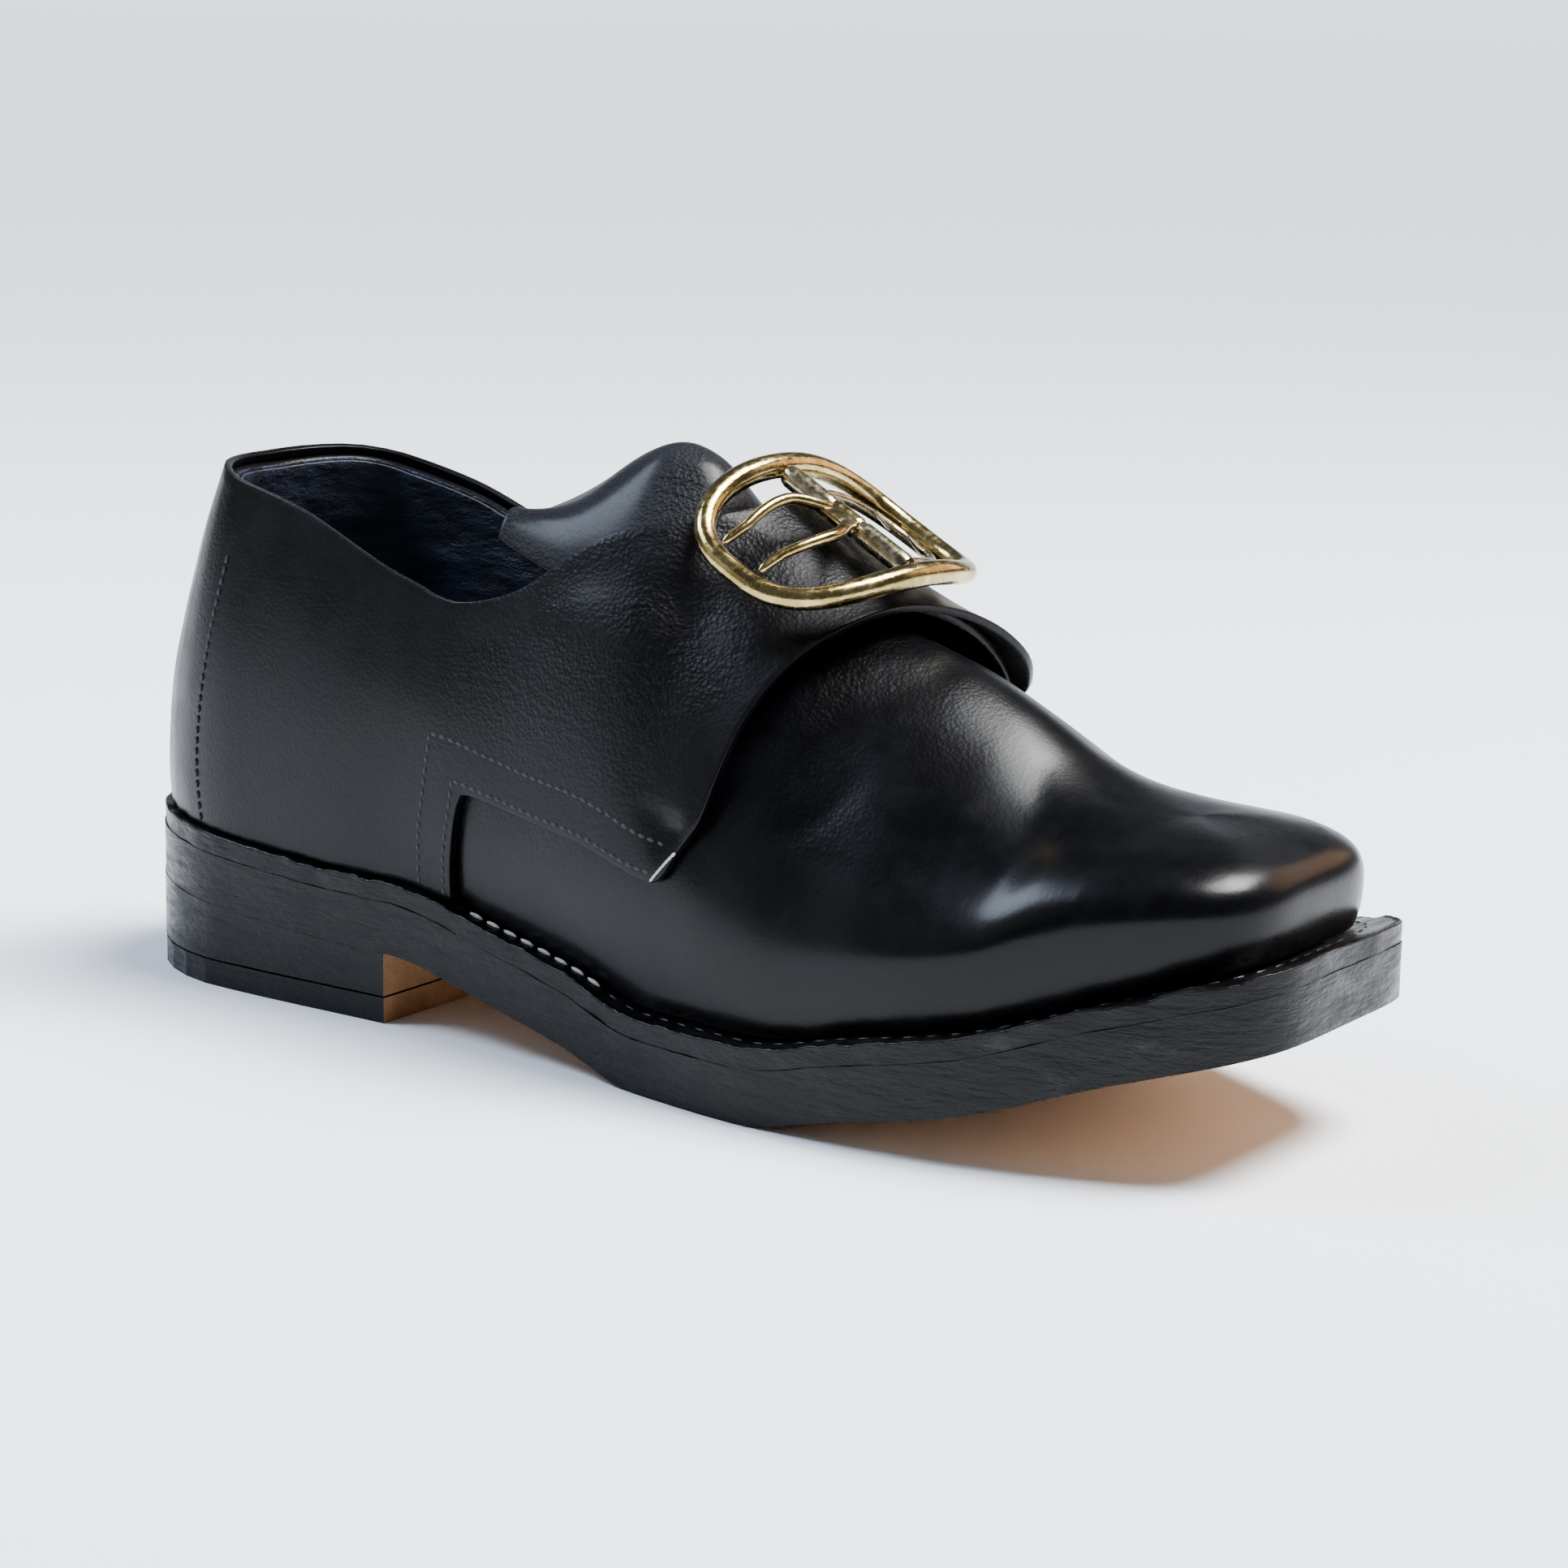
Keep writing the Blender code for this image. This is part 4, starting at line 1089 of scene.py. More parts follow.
@dataclass
class Vamp:
    """Vamp and inner wall of the upper, one skin over the last, open at the collar and underneath."""

    palette: Palette
    thickness: float = 2.0 * MM
    rings: int = 54
    pole_reach: float = 28.0 * MM
    pole_passes: int = 60
    relief: Relief = field(default_factory=lambda: Relief(
        creases=(
            Crease(((0.800, 0.30), (0.812, 0.60), (0.820, 1.0), (0.812, 1.4), (0.80, 1.7)), 0.7 * MM, 8 * MM),
            Crease(((0.60, 0.86), (0.625, 0.95), (0.63, 1.06), (0.61, 1.14)), 0.35 * MM, 1.6 * MM),
            Crease(((0.64, 0.82), (0.66, 0.93), (0.662, 1.05), (0.645, 1.15)), 0.30 * MM, 1.8 * MM),
            Crease(((0.665, 0.72), (0.69, 0.85), (0.70, 1.0), (0.685, 1.12)), 0.30 * MM, 2.4 * MM),
            Crease(((0.61, 0.55), (0.645, 0.64), (0.66, 0.76)), 0.30 * MM, 2.2 * MM),
            Crease(((0.63, 0.42), (0.67, 0.52), (0.69, 0.64)), 0.30 * MM, 3.0 * MM),
        ),
        swell=0.45 * MM,
        swell_size=0.035,
        seed=3.0,
    ))

    def stations(self) -> list[float]:
        """Returns the columns' stations.

        Returns:
            The stations, rising.
        """
        heel = spread(0.0, LAST.heel_centre, 16)
        waist = spread(LAST.heel_centre, THROAT, 36)[1:]
        forefoot = spread(THROAT, LAST.toe_centre, 52)[1:]
        return heel + waist + forefoot + spread(LAST.toe_centre, LENGTH, 30)[1:]

    def point(self, station: float, share: float, side: Side) -> Vector:
        """Returns a point of the outer skin.

        Args:
            station: place along the shoe.
            share: share of the way up, 1 at the edge.
            side: side of the shoe.

        Returns:
            The point, in the shoe's frame.
        """
        girth = share * LAST.edge_girth(station)
        whole = girth if side is Side.NEAR else 2 - girth
        offset = self.relief.height(station, whole) * ease(0.0, 0.12, girth)
        point = LAST.off(station, girth, offset)
        if share == 1.0 and station >= THROAT - MM or station in (0.0, LENGTH):
            point.y = 0.0
        return centred(point if side is Side.NEAR else Vector((point.x, -point.y, point.z)))

    def grain(self, station: float, girth: float) -> float:
        """Returns how pebbled the vamp is: fine wrinkles behind the ball, smooth at the toe."""
        return 0.75 * ease(0.235, 0.185, station) * ease(0.25, 0.6, girth) + 0.06

    def make(self) -> bpy.types.Object:
        """Makes the piece.

        Returns:
            The piece.
        """
        row = self.stations()
        shares = spread(0.0, 1.0, self.rings)
        halves = []
        for side in Side:
            half = Maker.grid(
                len(row) - 1, self.rings, lambda i, j, s=side: self.point(row[i], shares[j], s)
            )
            Maker.paint(half, "grain", lambda i, j: self.grain(row[i], shares[j]))
            Maker.flip_to(half, lambda p: Vector((p.x * 0.3, p.y, 0.01)))
            halves.append(half)
        skin = Maker.join(halves)
        bmesh.ops.remove_doubles(skin, verts=skin.verts, dist=0.02 * MM)
        pole = centred(LAST.point(LAST.toe_centre, 1.0))
        near_pole = [vert for vert in skin.verts if (vert.co - pole).length < self.pole_reach]
        Maker.smooth(skin, near_pole, self.pole_passes)
        data = Maker.mesh(skin, "vamp")
        materials = [self.palette.black, self.palette.lining]
        piece = Maker.piece("vamp", data, materials, Slot.BLACK, ["upper"])
        Maker.wall(piece, self.thickness, outward=False, inner=1)
        return piece


@dataclass
class Quarters:
    """Both quarters with their latchets, one strip laid round the heel."""

    palette: Palette
    gap: float = 0.5 * MM
    wall: float = 1.8 * MM
    lift: float = 12.0 * MM
    clearance: float = 0.3 * MM
    rings: int = 30
    columns_per_rib: int = 4
    relief: Relief = field(default_factory=lambda: Relief(
        creases=(
            Crease(((0.400, 0.52), (0.455, 0.60), (0.520, 0.66), (0.575, 0.70)), 0.9 * MM, 4.5 * MM),
            Crease(((0.410, 0.48), (0.470, 0.54), (0.540, 0.58), (0.590, 0.62)), -0.6 * MM, 5.0 * MM),
            Crease(((0.47, 0.66), (0.520, 0.74), (0.575, 0.80)), 0.35 * MM, 2.6 * MM),
            Crease(((0.49, 0.72), (0.53, 0.80), (0.58, 0.88)), 0.30 * MM, 2.2 * MM),
            Crease(((0.548, 0.33), (0.566, 0.375), (0.578, 0.40)), 0.7 * MM, 1.8 * MM),
            Crease(((0.53, 0.37), (0.555, 0.385), (0.575, 0.372)), 0.55 * MM, 1.6 * MM),
        ),
        swell=0.35 * MM,
        swell_size=0.03,
        seed=9.0,
    ))
    collar: tuple[Rib, ...] = (
        (0.000, 0.010, 0.000, 0.542), (0.067, 0.010, 0.067, 0.546), (0.137, 0.010, 0.137, 0.532),
        (0.187, 0.010, 0.180, 0.518), (0.237, 0.010, 0.223, 0.499), (0.285, 0.010, 0.265, 0.486),
        (0.330, 0.010, 0.307, 0.475), (0.348, 0.010, 0.325, 0.470), (0.353, 0.120, 0.341, 0.472),
        (0.365, 0.238, 0.356, 0.482), (0.408, 0.253, 0.378, 0.507), (0.458, 0.267, 0.405, 0.545),
        (0.508, 0.279, 0.432, 0.600),
    )
    near: tuple[Rib, ...] = (
        (0.553, 0.290, 0.462, 0.665), (0.573, 0.350, 0.488, 0.715), (0.590, 0.420, 0.505, 0.760),
        (0.596, 0.480, 0.517, 0.800), (0.602, 0.560, 0.526, 0.840), (0.609, 0.635, 0.533, 0.880),
        (0.619, 0.720, 0.538, 0.920), (0.636, 0.850, 0.543, 0.970), (0.652, 1.000, 0.549, 1.050),
        (0.664, 1.130, 0.556, 1.130), (0.672, 1.230, 0.562, 1.200), (0.676, 1.310, 0.567, 1.265),
        (0.668, 1.385, 0.572, 1.330), (0.648, 1.440, 0.580, 1.390),
    )
    far: tuple[Rib, ...] = (
        (0.565, 0.290, 0.462, 0.665), (0.595, 0.345, 0.488, 0.715), (0.622, 0.410, 0.505, 0.760),
        (0.642, 0.480, 0.517, 0.800), (0.655, 0.560, 0.526, 0.840), (0.658, 0.650, 0.533, 0.880),
        (0.654, 0.760, 0.540, 0.930), (0.645, 0.880, 0.546, 0.980), (0.636, 1.000, 0.552, 1.030),
    )
    lifts: tuple[tuple[float, float, float, float], ...] = (
        (0.350, 0.00, 0.20, 0.19), (0.400, 0.16, 0.26, 0.19), (0.450, 0.30, 0.30, 0.28),
        (0.490, 0.33, 0.28, 0.34), (0.543, 0.17, 0.20, 0.42), (0.600, 0.42, 0.22, 0.56),
        (0.650, 0.62, 0.34, 0.78), (0.710, 0.62, 0.42, 0.90),
    )

    def __post_init__(self) -> None:
        """Makes the curves of the ribs and the lifts."""
        self.lift_curves = table(self.lifts)
        self.tracks, self.last_rib = {}, {}
        for side, rows in ((Side.NEAR, self.near), (Side.FAR, self.far)):
            ribs = self.collar + rows
            self.tracks[side] = table([(float(i), *rib) for i, rib in enumerate(ribs)])
            self.last_rib[side] = len(ribs) - 1

    def near_lift(self, station: float, girth: float) -> float:
        """Returns how far the near latchet stands off the last.

        Args:
            station: place along the shoe.
            girth: 0 at the near feather, 1 at the ridge.

        Returns:
            The height over the last.
        """
        near, ridge, far = (curve(station / LENGTH) for curve in self.lift_curves)
        if girth < 0.62:
            share = near * ease(0.28, 0.62, girth)
        elif girth < 1.0:
            share = mix(near, ridge, ease(0.62, 1.0, girth))
        elif girth < 1.33:
            share = mix(ridge, far, ease(1.0, 1.33, girth))
        elif girth < 1.62:
            share = mix(far, far * 0.65, ease(1.33, 1.62, girth))
        else:
            share = far * 0.65 * (1 - ease(1.62, 1.85, girth))
        return share * self.lift

    def far_lift(self, station: float, girth: float) -> float:
        """Returns how far the far latchet, under the near one, stands off the last."""
        lift = self.near_lift(station, 2 - girth) - self.wall - 2 * self.clearance
        return max(lift, 0.0) * ease(0.28, 0.45, girth)

    def outer(self, side: Side, at: float, girth: float, above: float = 0.0) -> tuple[Vector, Vector]:
        """Returns a point above the strip's outer face, and the outward normal there.

        Args:
            side: side of the shoe.
            at: share of the length.
            girth: girth share, counted from that side's feather.
            above: height above the outer face.

        Returns:
            The point, in the shoe's frame, and the normal.
        """
        station = at * LENGTH
        lift = self.near_lift(station, girth) if side is Side.NEAR else self.far_lift(station, girth)
        whole = girth if side is Side.NEAR else 2 - girth
        offset = self.gap + lift + self.wall + above + self.relief_height(side, station, girth)
        return centred(LAST.off(station, whole, offset)), LAST.normal(station, whole)

    def relief_height(self, side: Side, station: float, girth: float) -> float:
        """Returns the relief's height, which fades out towards the feather."""
        whole = girth if side is Side.NEAR else 2 - girth
        return self.relief.height(station, whole) * ease(0.0, 0.1, girth)

    def rib_point(self, side: Side, rib: float, share: float) -> Vector:
        """Returns a point of the inner face on a rib, at a share of its way to the top.

        Args:
            side: side of the shoe.
            rib: number of the rib, with fractions.
            share: 0 at the foot, 1 at the top.

        Returns:
            The point, in the shoe's frame.
        """
        low_at, low_girth, top_at, top_girth = (track(rib) for track in self.tracks[side])
        at, girth = mix(low_at, top_at, share), mix(low_girth, top_girth, share)
        point, _ = self.outer(side, at, girth, -self.wall)
        if rib == 0:
            point.y = 0.0
        return point

    def grain(self, rib: float, share: float) -> float:
        """Returns how pebbled the strip is: more on the latchets, above their lower edge."""
        return 0.12 + 0.7 * ease(6.0, 14.0, rib) * ease(0.1, 0.5, share)

    def make(self) -> bpy.types.Object:
        """Makes the strip.

        Returns:
            The piece.
        """
        near_end, far_end = self.last_rib[Side.NEAR], self.last_rib[Side.FAR]
        near = [(Side.NEAR, rib) for rib in spread(near_end, 0.0, self.columns_per_rib * near_end)]
        far = [(Side.FAR, rib) for rib in spread(0.0, far_end, self.columns_per_rib * far_end)]
        ribs = near + far[1:]
        strip = Maker.grid(
            len(ribs) - 1, self.rings, lambda i, j: self.rib_point(*ribs[i], j / self.rings)
        )
        Maker.paint(strip, "grain", lambda i, j: self.grain(ribs[i][1], j / self.rings))
        Maker.flip_to(strip, lambda p: Vector((p.x + 0.02, p.y, 0.0)) if p.x < 0 else Vector((0, 0, 0)))
        piece = Maker.piece(
            "quarters_and_latchets",
            Maker.mesh(strip, "quarters"),
            [self.palette.latchet],
            Slot.BLACK,
            ["quarters"],
        )
        Maker.wall(piece, self.wall, outward=True)
        return piece


@dataclass
class Tongue:
    """The free leather tongue behind the latchets."""

    palette: Palette
    rise: float = 20.0 * MM
    thickness: float = 2.0 * MM
    relief_limit: float = 0.3 * MM
    steps: int = 60
    smooth_passes: int = 24
    rows: tuple[tuple[float, float, float, float], ...] = (
        (0.353, 0.590, -0.25, -0.98), (0.393, 0.585, -0.22, -0.54), (0.433, 0.580, -0.19, -0.06),
        (0.470, 0.580, -0.16, 0.20), (0.500, 0.585, -0.16, 0.21), (0.520, 0.590, -0.19, 0.08),
        (0.533, 0.600, -0.20, 0.00), (0.600, 0.660, -0.20, 0.00),
    )
    relief: Relief = field(default_factory=lambda: Relief(
        creases=(
            Crease(((0.40, 0.70), (0.44, 0.85), (0.455, 1.0), (0.44, 1.2)), 0.5 * MM, 2.2 * MM),
            Crease(((0.42, 0.72), (0.465, 0.86), (0.48, 1.0), (0.465, 1.15)), 0.4 * MM, 1.8 * MM),
            Crease(((0.38, 0.74), (0.41, 0.90), (0.415, 1.1)), 0.4 * MM, 2.6 * MM),
        ),
        swell=0.4 * MM,
        swell_size=0.022,
        seed=5.0,
    ))

    def point(self, at: float, share: float) -> Vector:
        """Returns a point of the outer side; share runs from -1, the near edge, to 1.

        Args:
            at: share of the length.
            share: -1 at the near edge, 1 at the far one.

        Returns:
            The point, in the shoe's frame.
        """
        side_girth, edge, raised = (curve(at) for curve in self.curves)
        girth = mix(1.0, side_girth, abs(share))
        throat = min(max(LAST.edge_girth(at * LENGTH) + 0.08, side_girth), 0.97)
        whole = girth if share < 0 else 2 - girth
        relief = min(self.relief.height(at * LENGTH, whole), self.relief_limit)
        point = LAST.off(at * LENGTH, girth, edge * self.rise + relief)
        point.z += raised * self.rise * ease(throat, mix(throat, 1.0, 0.8), girth)
        point.y = math.copysign(point.y, share) if share else 0.0
        return centred(point)

    def make(self) -> bpy.types.Object:
        """Makes the tongue.

        Returns:
            The piece.
        """
        self.curves = table(self.rows)
        places = spread(self.rows[0][0], self.rows[-1][0], self.steps)
        sheet = Maker.grid(
            self.steps, self.steps, lambda i, j: self.point(places[i], 2 * j / self.steps - 1)
        )
        Maker.paint(sheet, "grain", lambda i, j: 1.0)
        inner = [vert for vert in sheet.verts if not vert.is_boundary]
        Maker.smooth(sheet, inner, self.smooth_passes)
        Maker.flip_to(sheet, lambda p: Vector((0, 0, 1)))
        data = Maker.mesh(sheet, "tongue")
        piece = Maker.piece("leather_tongue", data, [self.palette.tongue], Slot.PEBBLED, ["tongue"])
        Maker.wall(piece, self.thickness, outward=False)
        return piece


@dataclass
class InnerLining:
    """Wrinkled lining at the collar, inside the upper's wall."""

    palette: Palette
    depth: float = 2.35 * MM
    thickness: float = 0.5 * MM
    front: float = 0.128
    fold: float = 1.5 * MM
    crumple: float = 0.9 * MM
    rings: int = 36

    def point(self, station: float, share: float, side: Side) -> Vector:
        """Returns a point of the lining's outer side.

        Args:
            station: place along the shoe.
            share: 0 at the foot, 1 at the top.
            side: side of the shoe.

        Returns:
            The point, in the shoe's frame.
        """
        top = LAST.edge_girth(station)
        girth = mix(0.09, top - 0.004, share)
        whole = girth if side is Side.NEAR else 2 - girth
        folds = noise.noise(Vector((station / 0.05, whole * 9.0, 1.0)))
        fine = noise.noise(Vector((station / 0.016, whole * 26.0, 4.0)))
        sag = self.fold * abs(folds) + self.crumple * abs(fine)
        sag *= ease(0.0, 0.2, share)
        sag *= ease(1.0, 0.8, share)
        point = LAST.off(station, whole, -self.depth - sag)
        if station == 0.0:
            point.y = 0.0
        return centred(point)

    def make(self) -> bpy.types.Object:
        """Makes the lining.

        Returns:
            The piece.
        """
        row = spread(0.0, LAST.heel_centre, 20) + spread(LAST.heel_centre, self.front, 34)[1:]
        columns = [(station, Side.NEAR) for station in reversed(row)]
        columns += [(station, Side.FAR) for station in row[1:]]
        sheet = Maker.grid(
            len(columns) - 1,
            self.rings,
            lambda i, j: self.point(columns[i][0], j / self.rings, columns[i][1]),
        )
        Maker.flip_to(sheet, lambda p: Vector((p.x + 0.06, p.y, 0.0)))
        piece = Maker.piece("collar_lining", Maker.mesh(sheet, "lining"), [self.palette.lining], Slot.LINING)
        Maker.wall(piece, self.thickness, outward=False)
        return piece


@dataclass
class Stitches:
    """Rows of single stitches, each a small rounded bar."""

    name: str
    material: bpy.types.Material
    slot: Slot
    spacing: float
    length: float
    radius: float
    places: list[tuple[Vector, Vector, Vector]] = field(default_factory=list)

    def along(self, points: Sequence[tuple[Vector, Vector]]) -> None:
        """Adds evenly spaced stitches along a path of (point, normal).

        Args:
            points: the path.
        """
        travelled, due = 0.0, self.spacing / 2
        for (a, up_a), (b, up_b) in zip(points, points[1:]):
            step = (b - a).length
            while due < travelled + step:
                share = (due - travelled) / step
                up = up_a.lerp(up_b, share).normalized()
                self.places.append((a.lerp(b, share), (b - a).normalized(), up))
                due += self.spacing
            travelled += step

    def make(self) -> bpy.types.Object:
        """Makes all stitches as one piece.

        Returns:
            The piece.
        """
        rows = bmesh.new()
        for centre, along, up in self.places:
            across = up.cross(along).normalized()
            turn = Matrix((along, across, along.cross(across))).transposed().to_4x4()
            size = Matrix.Diagonal((self.length / 2, self.radius, self.radius, 1.0))
            bmesh.ops.create_uvsphere(
                rows, u_segments=8, v_segments=6, radius=1.0, matrix=Matrix.Translation(centre) @ turn @ size
            )
        data = Maker.mesh(rows, self.name)
        return Maker.piece(self.name, data, [self.material], self.slot, sharp=80.0)


@dataclass
class Seams:
    """The visible seams of the quarters, the collar and the welt."""

    palette: Palette
    quarters: Quarters
    bare_thread: tuple[float, float] = (0.362, 0.50)
    welt_spacing: float = 5.2 * MM
    welt_length: float = 4.0 * MM
    sunk: float = 0.08 * MM
    rows: tuple[tuple[tuple[float, float], ...], ...] = (
        ((0.343, 0.02), (0.346, 0.12), (0.3565, 0.250)),
        ((0.3565, 0.250), (0.408, 0.264), (0.458, 0.278), (0.508, 0.290), (0.548, 0.301)),
        ((0.319, 0.02), (0.322, 0.14), (0.334, 0.294)),
        ((0.334, 0.294), (0.408, 0.310), (0.458, 0.324), (0.508, 0.336), (0.562, 0.350)),
        ((0.112, 0.02), (0.110, 0.18), (0.118, 0.33), (0.128, 0.44)),
    )

    def path(
        self, side: Side, places: Sequence[tuple[float, float]], steps: int = 10
    ) -> list[tuple[Vector, Vector]]:
        """Returns points and normals just above the quarters along (share of length, girth) places.

        Args:
            side: side of the shoe.
            places: share of the length and girth.
            steps: points from place to place.

        Returns:
            The points, each with its normal.
        """
        at, girth = (Curve(range(len(places)), [p[k] for p in places]) for k in (0, 1))
        count = (len(places) - 1) * steps
        return [
            self.quarters.outer(side, at(k / steps), girth(k / steps), -self.sunk) for k in range(count + 1)
        ]

    def make(self) -> None:
        """Makes the seams."""
        black = Stitches(
            "seam_stitches", self.palette.black_thread, Slot.BLACK,
            spacing=2.5 * MM, length=1.95 * MM, radius=0.42 * MM,
        )
        for side in Side:
            for row in self.rows:
                black.along(self.path(side, row))
        black.make()
        frayed = Stitches(
            "frayed_edge", self.palette.white_thread, Slot.BLACK,
            spacing=1.1 * MM, length=1.7 * MM, radius=0.36 * MM,
        )
        frayed.along([
            self.quarters.outer(Side.NEAR, mix(0.5522, 0.5722, step), mix(0.292, 0.351, step), -0.15 * MM)
            for step in spread(0.0, 1.0, 12)
        ])
        frayed.make()
        self.make_welt()

    def welt_path(
        self, side: Side, low: float, high: float, rise: float
    ) -> list[tuple[Vector, Vector]]:
        """Returns points and normals a little above the welt, close to the upper, between two stations.

        Args:
            side: side of the shoe.
            low: first station.
            high: last station.
            rise: height over the welt.

        Returns:
            The points, each with its normal.
        """
        path = []
        for station in spread(low, high, max(round((high - low) / (1.2 * MM)), 8)):
            edge, foot = Vector((*LAST.sole_edge(station), 0.0)), LAST.point(station, 0.0)
            spot = edge.lerp(Vector((foot.x, abs(foot.y), 0.0)), 0.72)
            spot = Vector((spot.x, side.value * spot.y, LAST.sole_top(spot.x) + rise))
            path.append((centred(spot), Vector((0.0, 0.0, 1.0))))
        return path

    def make_welt(self) -> None:
        """Sews the welt: bare thread shows at the waist and is waxed black elsewhere."""
        white = Stitches(
            "waist_stitches", self.palette.white_thread, Slot.LINING,
            spacing=self.welt_spacing, length=self.welt_length, radius=0.5 * MM,
        )
        waxed = Stitches(
            "welt_stitches", self.palette.edge, Slot.EDGE,
            spacing=self.welt_spacing, length=self.welt_length, radius=0.45 * MM,
        )
        start, end = self.bare_thread
        for side in Side:
            white.along(self.welt_path(side, start * LENGTH, end * LENGTH, 0.12 * MM))
            waxed.along(self.welt_path(side, 0.0, start * LENGTH, -0.22 * MM))
            waxed.along(self.welt_path(side, end * LENGTH, LENGTH, -0.22 * MM))
        white.make()
        waxed.make()


@dataclass
class Plate:
    """One layer of the sole or heel, with grooves and notches along its rim."""

    name: str
    node: str
    slot: Slot
    material: bpy.types.Material
    low: Callable[[float], float]
    high: Callable[[float], float]
    stations: list[float]
    insets: tuple[float, ...] = (0.0, 6.0, 20.0)
    bare_under: bool = False
    front: bool = False
    wave: float = 0.0
    notches: float = 0.0
    round_rim: float = 0.9 * MM
    shown_above: bool = False

    def inside(self, station: float, inset: float) -> tuple[float, float]:
        """Returns the outline's point at a station, moved inwards by an inset.

        Args:
            station: place along the outline.
            inset: distance, square to the outline.

        Returns:
            The distance along the shoe and the half width.
        """
        step = 0.4 * MM
        ahead = LAST.sole_edge(min(station + step, LENGTH))
        behind = LAST.sole_edge(max(station - step, 0.0))
        x, half = LAST.sole_edge(station)
        along = Vector((ahead[0] - behind[0], ahead[1] - behind[1])).normalized()
        if station in (0.0, LENGTH):
            along = Vector((0.0, 1.0 if station == 0.0 else -1.0))
        if self.front and station == self.stations[-1]:
            along = Vector((1.0, 0.0))
        if abs(along.x) > 0.5:
            inset = min(inset, max(half - 1.0 * MM, 0.0) / abs(along.x))
        return x + along.y * inset, max(half - along.x * inset, 0.0)

    def point(self, i: int, j: int, upper: bool) -> Vector:
        """Returns a vertex of the plate's lower or upper face.

        Args:
            i: number of the station.
            j: number of the row across.
            upper: the upper face.

        Returns:
            The point, in the shoe's frame.
        """
        rows = 2 * len(self.insets)
        rim = min(j, rows - j)
        inset = self.insets[min(rim, len(self.insets) - 1)] * MM
        if rim == 0:
            x, half = LAST.sole_edge(self.stations[i])
            place = Vector((x / 0.007, math.copysign(half, j - 1) / 0.009, 4.0 if upper else 5.0))
            inset += self.wave * (0.45 + 0.55 * noise.noise(place))
        x, half = self.inside(self.stations[i], inset)
        y = 0.0 if rim == len(self.insets) else math.copysign(half, j - rim - 0.5)
        height = self.high(x) if upper else self.low(x)
        if upper and rim <= 2:
            ragged = noise.noise(Vector((x / 0.009, y / 0.02, 2.0)))
            ragged += 0.6 * noise.noise(Vector((x / 0.0035, y / 0.01, 7.0)))
            height += self.wave * ragged * (1.0, 0.7, 0.3)[rim]
        if upper and rim == 1:
            height -= self.notches * (i % 2) * ease(0.12, 0.2, x / LENGTH)
        return centred(Vector((x, y, height)))

    def make(self) -> bpy.types.Object:
        """Makes the plate.

        Returns:
            The piece.
        """
        rows = 2 * len(self.insets)
        plate = Maker.grid(len(self.stations) - 1, rows, lambda i, j: self.point(i, j, False))
        column, row = plate.verts.layers.int["column"], plate.verts.layers.int["row"]
        groove = plate.verts.layers.float.new("groove")
        bare = plate.faces.layers.float.new("bare")
        bmesh.ops.remove_doubles(plate, verts=plate.verts, dist=0.01 * MM)
        for vert in plate.verts:
            vert[groove] = 1.0 if self.bare_under and min(vert[row], rows - vert[row]) == 2 else 0.0
        for face in plate.faces:
            rim = min(min(vert[row], rows - vert[row]) for vert in face.verts)
            face[bare] = 1.0 if self.bare_under and rim > 0 else 0.0
        raised = bmesh.ops.extrude_face_region(plate, geom=plate.faces[:])
        for item in raised["geom"]:
            if isinstance(item, bmesh.types.BMVert):
                item.co = self.point(item[column], item[row], True)
                item[groove] = 0.0
            elif isinstance(item, bmesh.types.BMFace):
                item[bare] = 0.0
        bmesh.ops.recalc_face_normals(plate, faces=plate.faces)
        plate.normal_update()
        for face in plate.faces:
            if self.front and face.normal.x > 0.9:
                face[bare] = 1.0
            elif abs(face.normal.z) < 0.6:
                face[bare] = 0.0
        weight = plate.edges.layers.float.new("bevel_weight_edge")
        for edge in plate.edges:
            if edge.calc_face_angle(0.0) > math.radians(50):
                middle = (edge.verts[0].co + edge.verts[1].co) / 2
                x = middle.x + LENGTH / 2
                above = abs(middle.z - self.high(x)) < abs(middle.z - self.low(x))
                edge[weight] = 1.0 if above == self.shown_above else 0.15
        data = Maker.mesh(plate, self.name)
        piece = Maker.piece(self.name, data, [self.material], self.slot, [self.node], sharp=40.0)
        rim = piece.modifiers.new("rim", "BEVEL")
        rim.width = self.round_rim
        rim.segments = 3
        rim.limit_method = "WEIGHT"
        return piece


